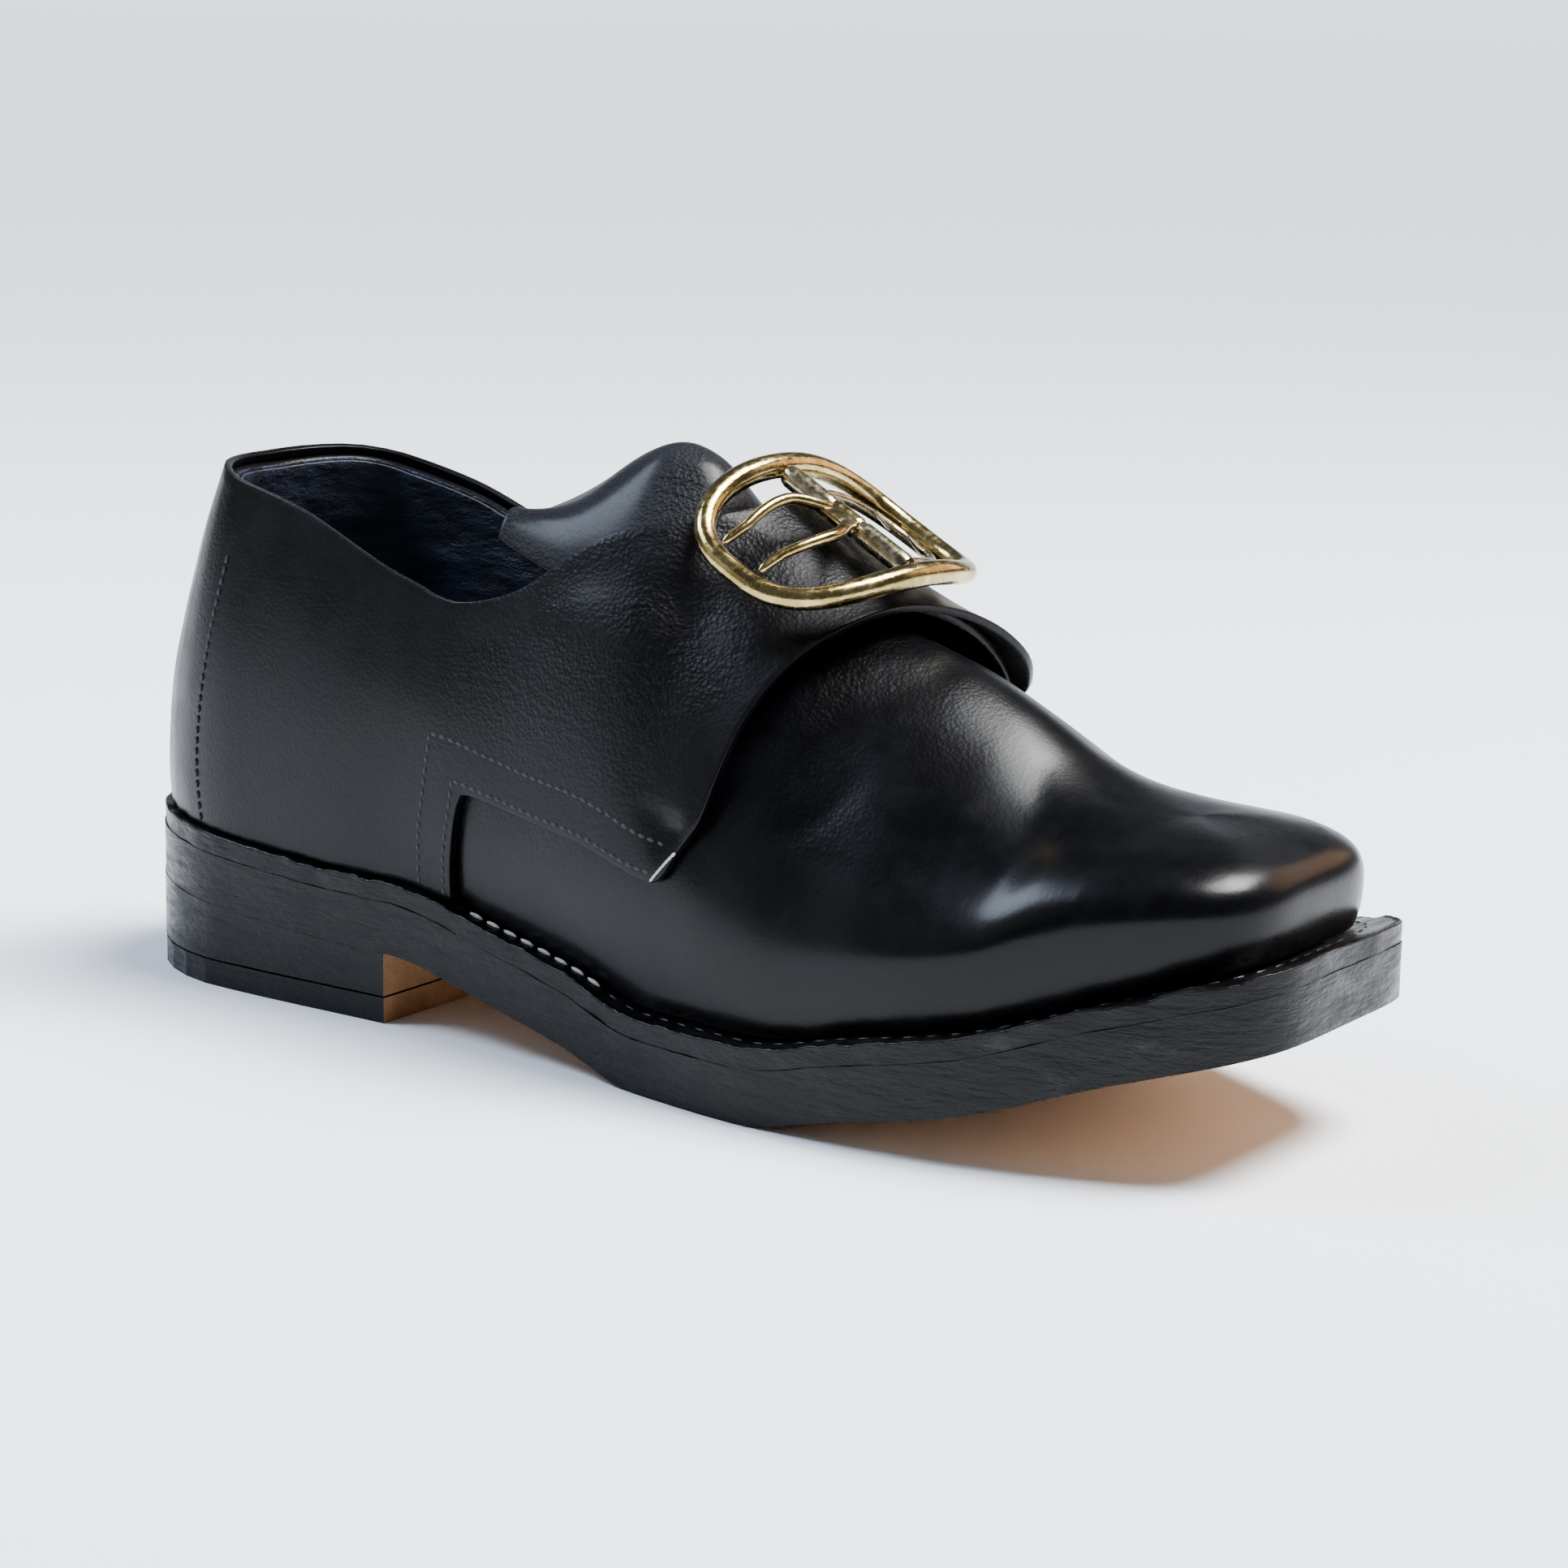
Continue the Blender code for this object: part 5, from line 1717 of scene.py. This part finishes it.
@dataclass
class Sole:
    """Outsole, welt and heel."""

    palette: Palette
    heel_length: float = 0.087
    top_lift: float = 6.0 * MM

    def even_stations(self, step: float, last: float = LENGTH) -> list[float]:
        """Returns stations at about even distances along the outline.

        Args:
            step: the distance.
            last: the last station.

        Returns:
            The stations, rising.
        """
        fine = spread(0.0, last, 1600)
        outline = [Vector((*LAST.sole_edge(s), 0.0)) for s in fine]
        travelled = [0.0]
        for a, b in zip(outline, outline[1:]):
            travelled.append(travelled[-1] + (b - a).length)
        count = round(travelled[-1] / step)
        where = Curve(travelled, fine)
        return [0.0] + [where(travelled[-1] * k / count) for k in range(1, count)] + [last]

    def make(self) -> None:
        """Makes the layers."""
        edge = self.palette.edge
        whole = self.even_stations(3.0 * MM)
        heel = self.even_stations(3.0 * MM, self.heel_length)
        layers = (
            Plate(
                "leather_outsole", "outsole", Slot.SOLE, edge, LAST.sole_bottom,
                lambda x: LAST.sole_bottom(x) + LAST.outsole - 0.02 * MM, whole,
                insets=(0.0, 2.2, 6.0, 6.5, 20.0), bare_under=True, wave=0.25 * MM,
            ),
            Plate(
                "sewn_welt", "welt", Slot.EDGE, edge,
                lambda x: LAST.sole_bottom(x) + LAST.outsole, LAST.sole_top,
                self.even_stations(1.3 * MM), insets=(0.0, 1.0, 2.2, 3.4, 12.0),
                wave=0.7 * MM, notches=0.35 * MM, round_rim=0.6 * MM, shown_above=True,
            ),
            Plate(
                "stacked_heel", "heel_stack", Slot.EDGE, edge, lambda x: self.top_lift,
                lambda x: LAST.sole_bottom(x) - 0.02 * MM, heel, front=True, round_rim=0.3 * MM,
            ),
        )
        for layer in layers:
            layer.make()


@dataclass
class Buckle:
    """The arched buckle: frame, spindle, fork and chape."""

    palette: Palette
    at: float = 0.601
    stand: float = 11.0 * MM
    tilt: float = -0.106
    roll: float = 0.011
    yaw: float = -0.127
    long: float = 60.0 * MM
    short: float = 43.0 * MM
    sag: float = 8.9 * MM
    corner: float = 2.8
    wire: float = 4.4 * MM
    spindle_wire: float = 3.0 * MM
    spindle_drop: float = 0.2 * MM
    knuckle: float = 2.5 * MM
    fork_knuckle: float = 8.0 * MM
    fork_spread: float = 11.0 * MM
    chape_half: float = 13.5 * MM
    chape_reach: float = 25.0 * MM
    chape_centre: float = 9 * MM
    chape_wire: float = 1.2 * MM
    chape_drop: float = 2.6 * MM
    chape_drop_within: float = 8 * MM
    tooth_length: float = 9 * MM
    tooth_rise: float = 2.0 * MM
    tooth_side: float = 5 * MM
    prong: float = 2.2 * MM
    prong_start: float = 3.2 * MM
    prong_short: float = 0.2 * MM
    prong_bow: float = 1.6 * MM
    prong_crown: float = 2.4 * MM
    play: float = 0.3 * MM
    thick_side: float = 1.22
    frame_steps: int = 160

    def matrix(self) -> Matrix:
        """Returns where the buckle lies on the instep.

        Returns:
            The turn and the place.
        """
        back, front = (LAST.point(self.at * LENGTH + side * self.short / 2, 1.0) for side in (-1, 1))
        slope = math.atan2(back.z - front.z, front.x - back.x)
        centre = (back + front) / 2 + Vector((0.0, 0.0, self.stand))
        turn = (
            Matrix.Rotation(self.yaw, 4, "Z")
            @ Matrix.Rotation(slope + self.tilt, 4, "Y")
            @ Matrix.Rotation(self.roll, 4, "X")
        )
        return Matrix.Translation(centred(centre)) @ turn

    def arch(self, y: float) -> float:
        """Returns the arch's drop at a distance across the instep."""
        return -self.sag * (y / (self.long / 2)) ** 2

    def finish(
        self,
        name: str,
        node: str,
        parts: list[bmesh.types.BMesh],
        material: bpy.types.Material,
        slot: Slot,
    ) -> None:
        """Joins closed parts, sets them on the instep and makes the piece.

        Args:
            name: the piece's name.
            node: the CAD node that it stands for.
            parts: closed meshes.
            material: its metal.
            slot: a material slot, passed on to the piece.
        """
        whole = Maker.join(parts)
        bmesh.ops.transform(whole, matrix=self.matrix(), verts=whole.verts)
        Maker.piece(name, Maker.mesh(whole, name), [material], slot, [node])

    def frame(self) -> None:
        """Makes the frame."""
        points, radii = [], []
        for k in range(self.frame_steps):
            turn = 2 * math.pi * k / self.frame_steps
            c, s = math.cos(turn), math.sin(turn)
            x = math.copysign(abs(c) ** (2 / self.corner), c) * self.short / 2
            y = math.copysign(abs(s) ** (2 / self.corner), s) * self.long / 2
            points.append(Vector((x, y, self.arch(y))))
            uneven = 1 + 0.03 * noise.noise(Vector((x / 0.012, y / 0.012, 0.0)))
            radii.append(self.wire / 2 * (1.06 + 0.16 * c**4) * uneven)
        wire = Maker.tube(points, radii, cyclic=True, around=20)
        self.finish("arched_frame", "buckle_frame", [wire], self.palette.brass, Slot.BRASS)

    def bar(self, low: float, high: float, radius: float) -> bmesh.types.BMesh:
        """Returns a rounded bar along the spindle.

        Args:
            low: where it starts.
            high: where it ends.
            radius: its radius.

        Returns:
            The bar, along the spindle.
        """
        ends = spread(low, high, 12)
        points = [Vector((x, 0.0, -self.spindle_drop)) for x in ends]
        radii = [radius * (0.86 if k in (0, 12) else 1.0) for k in range(13)]
        return Maker.tube(points, radii, around=20)

    def make(self) -> None:
        """Makes all four pieces."""
        self.frame()
        half = self.short / 2 - self.thick_side * self.wire / 2 - self.play
        spindle = self.bar(-half, half, self.spindle_wire / 2)
        self.finish("spindle", "buckle_spindle", [spindle], self.palette.steel, Slot.STEEL)
        self.fork()
        self.chape(half)

    def fork(self) -> None:
        """Makes the two-pronged tongue."""
        half = self.fork_knuckle / 2
        thick = self.prong
        tip_y = -(self.long / 2 - self.prong_short)
        tip_z = self.arch(tip_y) + self.wire / 2 + thick / 2 + self.play
        start_z = self.knuckle - thick / 2 - self.spindle_drop
        parts = [self.bar(-half, half, self.knuckle)]
        for side in (-1, 1):
            points, radii = [], []
            for step in spread(0.0, 1.0, 36):
                bow = math.sin(math.pi * min(step * 1.25, 1.0)) * self.prong_bow
                x = side * (mix(0.30, 0.5, ease(0.0, 0.35, step)) * self.fork_spread + bow)
                z = mix(start_z, tip_z, step**1.6) + self.prong_crown * math.sin(math.pi * step)
                points.append(Vector((x, mix(-self.prong_start, tip_y, step), z)))
                radii.append(thick / 2 * (1.32 - 0.42 * step) * (0.5 if step == 1.0 else 1.0))
            parts.append(Maker.tube(points, radii, around=12))
        low, high = (-half, -6.0 * MM, start_z - 0.6 * MM), (half, 0.0, start_z + 0.8 * MM)
        parts.append(self.block(low, high, 0.6 * MM))
        self.finish("two_pronged_fork", "buckle_fork", parts, self.palette.brass, Slot.BRASS)

    def block(self, low: Sequence[float], high: Sequence[float], rim: float) -> bmesh.types.BMesh:
        """Returns a block with rounded edges between two corners.

        Args:
            low: the lowest corner.
            high: the highest corner.
            rim: the rounding.

        Returns:
            The block.
        """
        block = bmesh.new()
        size = [b - a for a, b in zip(low, high)]
        middle = [(a + b) / 2 for a, b in zip(low, high)]
        place = Matrix.Translation(middle) @ Matrix.Diagonal((*size, 1.0))
        bmesh.ops.create_cube(block, size=1.0, matrix=place)
        bmesh.ops.bevel(
            block, geom=block.edges[:], offset=rim, offset_type="OFFSET", segments=3, profile=0.5,
            affect="EDGES", material=-1, clamp_overlap=True,
        )
        return block

    def chape(self, outer: float) -> None:
        """Makes the chape: knuckles, bar, loop and two teeth.

        Args:
            outer: half the spindle's length.
        """
        inner = self.fork_knuckle / 2 + self.play
        outer -= self.play

        def level(y: float) -> float:
            """Returns the chape's height at a distance from the spindle."""
            return self.arch(y) - self.chape_drop * ease(0.0, self.chape_drop_within, y)

        points = []
        for step in spread(0.0, 1.0, 60):
            turn = math.pi * (1.12 - 1.24 * step)
            reach = (self.chape_reach - self.chape_centre) * max(math.sin(turn), -0.5)
            y = self.chape_centre + reach
            points.append(Vector((self.chape_half * math.cos(turn), y, level(y))))
        parts = [Maker.tube(points, [self.chape_wire] * len(points), around=14)]
        middle = level(5 * MM)
        bar_low, bar_high = (-outer, 3.6 * MM, middle - 0.8 * MM), (outer, 6.4 * MM, middle + 0.8 * MM)
        parts.append(self.block(bar_low, bar_high, 0.5 * MM))
        for side in (-1, 1):
            low, high = sorted((side * inner, side * outer))
            parts.append(self.bar(low, high, self.knuckle))
            drop = -self.spindle_drop
            ear_low = (low, 0.8 * MM, drop - self.knuckle + 0.3 * MM)
            ear_high = (high, 4.4 * MM, drop + 0.2 * MM)
            parts.append(self.block(ear_low, ear_high, 0.4 * MM))
            tooth = []
            for step in spread(0.0, 1.0, 12):
                y = self.chape_reach - step * self.tooth_length
                tooth.append(Vector((side * self.tooth_side, y, level(y) + self.tooth_rise * step**2)))
            radii = [self.chape_wire * (0.85 - 0.6 * k / 12) for k in range(13)]
            parts.append(Maker.tube(tooth, radii, around=10))
        self.finish("chape", "buckle_chape", parts, self.palette.worn_brass, Slot.BRASS)


@dataclass
class Studio:
    """Floor, lights and camera."""

    palette: Palette
    aim: Vector = Vector((0.0156, 0.0, 0.0576))
    azimuth: float = 34.252
    elevation: float = 11.987
    roll: float = 0.942
    distance: float = 0.85
    lens: float = 92.0

    def floor(self) -> None:
        """Makes a wide floor that sweeps up far behind the shoe."""
        away = Vector((-math.sin(math.radians(self.azimuth)), math.cos(math.radians(self.azimuth)), 0.0))
        across = Vector((away.y, -away.x, 0.0))
        front, bend, radius, half_width = -4.0, 12.0, 5.0, 9.0
        steps, rows = 40, 12

        def place(i: int, j: int) -> Vector:
            """Returns a vertex of the floor.

            Args:
                i: step away from the camera.
                j: step across.

            Returns:
                The vertex.
            """
            if i <= steps:
                reach, height = mix(front, bend, (i / steps) ** 2), 0.0
            else:
                turn = (i - steps) / steps * math.pi / 2
                reach, height = bend + radius * math.sin(turn), radius * (1 - math.cos(turn))
            sideways = mix(-half_width, half_width, j / rows)
            return away * reach + across * sideways + Vector((0.0, 0.0, height))

        sweep = Maker.grid(2 * steps, rows, place)
        Maker.flip_to(sweep, lambda p: Vector((0, 0, 1)))
        floor = placed("floor", Maker.mesh(sweep, "floor"))
        floor.data.materials.append(self.palette.paper)
        floor.data.shade_smooth()

    def sun(self, toward: Sequence[float], strength: float, angle: float) -> None:
        """Adds a wide soft sun, seen in a direction from the shoe.

        Args:
            toward: direction to it.
            strength: its strength.
            angle: how wide it is, in degrees.
        """
        data = bpy.data.lights.new("sky", "SUN")
        data.energy = strength
        data.angle = math.radians(angle)
        data.color = (0.97, 0.985, 1.0)
        lamp = placed("sky", data)
        lamp.rotation_euler = Vector(toward).to_track_quat("Z", "Y").to_euler()

    def light(
        self, name: str, spot: Sequence[float], size: Sequence[float], power: float, tint: Rgb
    ) -> None:
        """Adds a soft box that looks at the shoe.

        Args:
            name: the lamp's name.
            spot: where it hangs.
            size: its width and height.
            power: its power.
            tint: its colour.
        """
        data = bpy.data.lights.new(name, "AREA")
        data.shape = "RECTANGLE"
        data.size, data.size_y = size
        data.energy = power
        data.color = tint
        lamp = placed(name, data)
        lamp.location = spot
        lamp.rotation_euler = (self.aim - Vector(spot)).to_track_quat("-Z", "Y").to_euler()

    def camera(self) -> None:
        """Adds the camera at the photograph's angle."""
        azimuth, elevation, roll = (math.radians(v) for v in (self.azimuth, self.elevation, self.roll))
        flat = math.cos(elevation)
        back = Vector((math.sin(azimuth) * flat, -math.cos(azimuth) * flat, math.sin(elevation)))
        right = Vector((math.cos(azimuth), math.sin(azimuth), 0.0))
        up = back.cross(right)
        turned = right * math.cos(roll) + up * math.sin(roll)
        upright = up * math.cos(roll) - right * math.sin(roll)
        data = bpy.data.cameras.new("camera")
        data.lens = self.lens
        data.sensor_width = 36.0
        camera = placed("camera", data)
        pose = Matrix((turned, upright, back)).transposed().to_4x4()
        pose.translation = self.aim + back * self.distance
        camera.matrix_world = pose
        bpy.context.scene.camera = camera

    def world(self) -> None:
        """Sets an even pale surround."""
        world = bpy.data.worlds.new("studio")
        bpy.context.scene.world = world
        world.use_nodes = True
        surround = world.node_tree.nodes["Background"]
        surround.inputs["Color"].default_value = (0.86, 0.92, 1.0, 1.0)
        surround.inputs["Strength"].default_value = 0.16

    def make(self) -> None:
        """Sets up the studio."""
        self.floor()
        self.world()
        self.sun((0.33, 0.22, 0.92), 6.8, 28.0)
        self.light("softbox", (0.50, 0.45, 1.10), (0.6, 0.4), 30.0, (1.0, 0.99, 0.97))
        self.light("sheen", (-0.80, -0.28, 0.95), (0.55, 0.45), 16.0, (0.72, 0.82, 1.0))
        self.light("fill", (-1.1, -1.2, 0.7), (1.2, 1.0), 2.0, (0.93, 0.96, 1.0))
        self.light("warm", (0.55, 0.95, 0.55), (0.8, 0.5), 3.4, (1.0, 0.62, 0.38))
        self.camera()


def finish_kept_nodes(frame: dict, palette: Palette) -> None:
    """Gives CAD nodes that stay visible their materials.

    Args:
        palette: the materials.
    """
    for name, node in frame["nodes"].items():
        if name.startswith("heel_nail"):
            material = palette.steel
        elif name == "insole":
            material = palette.lining
        elif name == "top_lift":
            material = palette.edge
            bare = node.data.attributes.new("bare", "FLOAT", "FACE")
            for face, value in zip(node.data.polygons, bare.data):
                value.value = 1.0 if face.normal.x > 0.9 or face.normal.z < -0.9 else 0.0
        else:
            continue
        node.data.materials.clear()
        node.data.materials.append(material)


def main() -> None:
    """Builds the shoe's looks and the studio."""
    logging.basicConfig(level=logging.INFO, format="%(name)s %(message)s")
    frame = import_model()
    palette = Palette()
    quarters = Quarters(palette)
    Vamp(palette).make()
    quarters.make()
    Tongue(palette).make()
    InnerLining(palette).make()
    Seams(palette, quarters).make()
    Sole(palette).make()
    Buckle(palette).make()
    finish_kept_nodes(frame, palette)
    Studio(palette).make()
    bpy.context.view_layer.update()


if __name__ == "__main__":
    main()
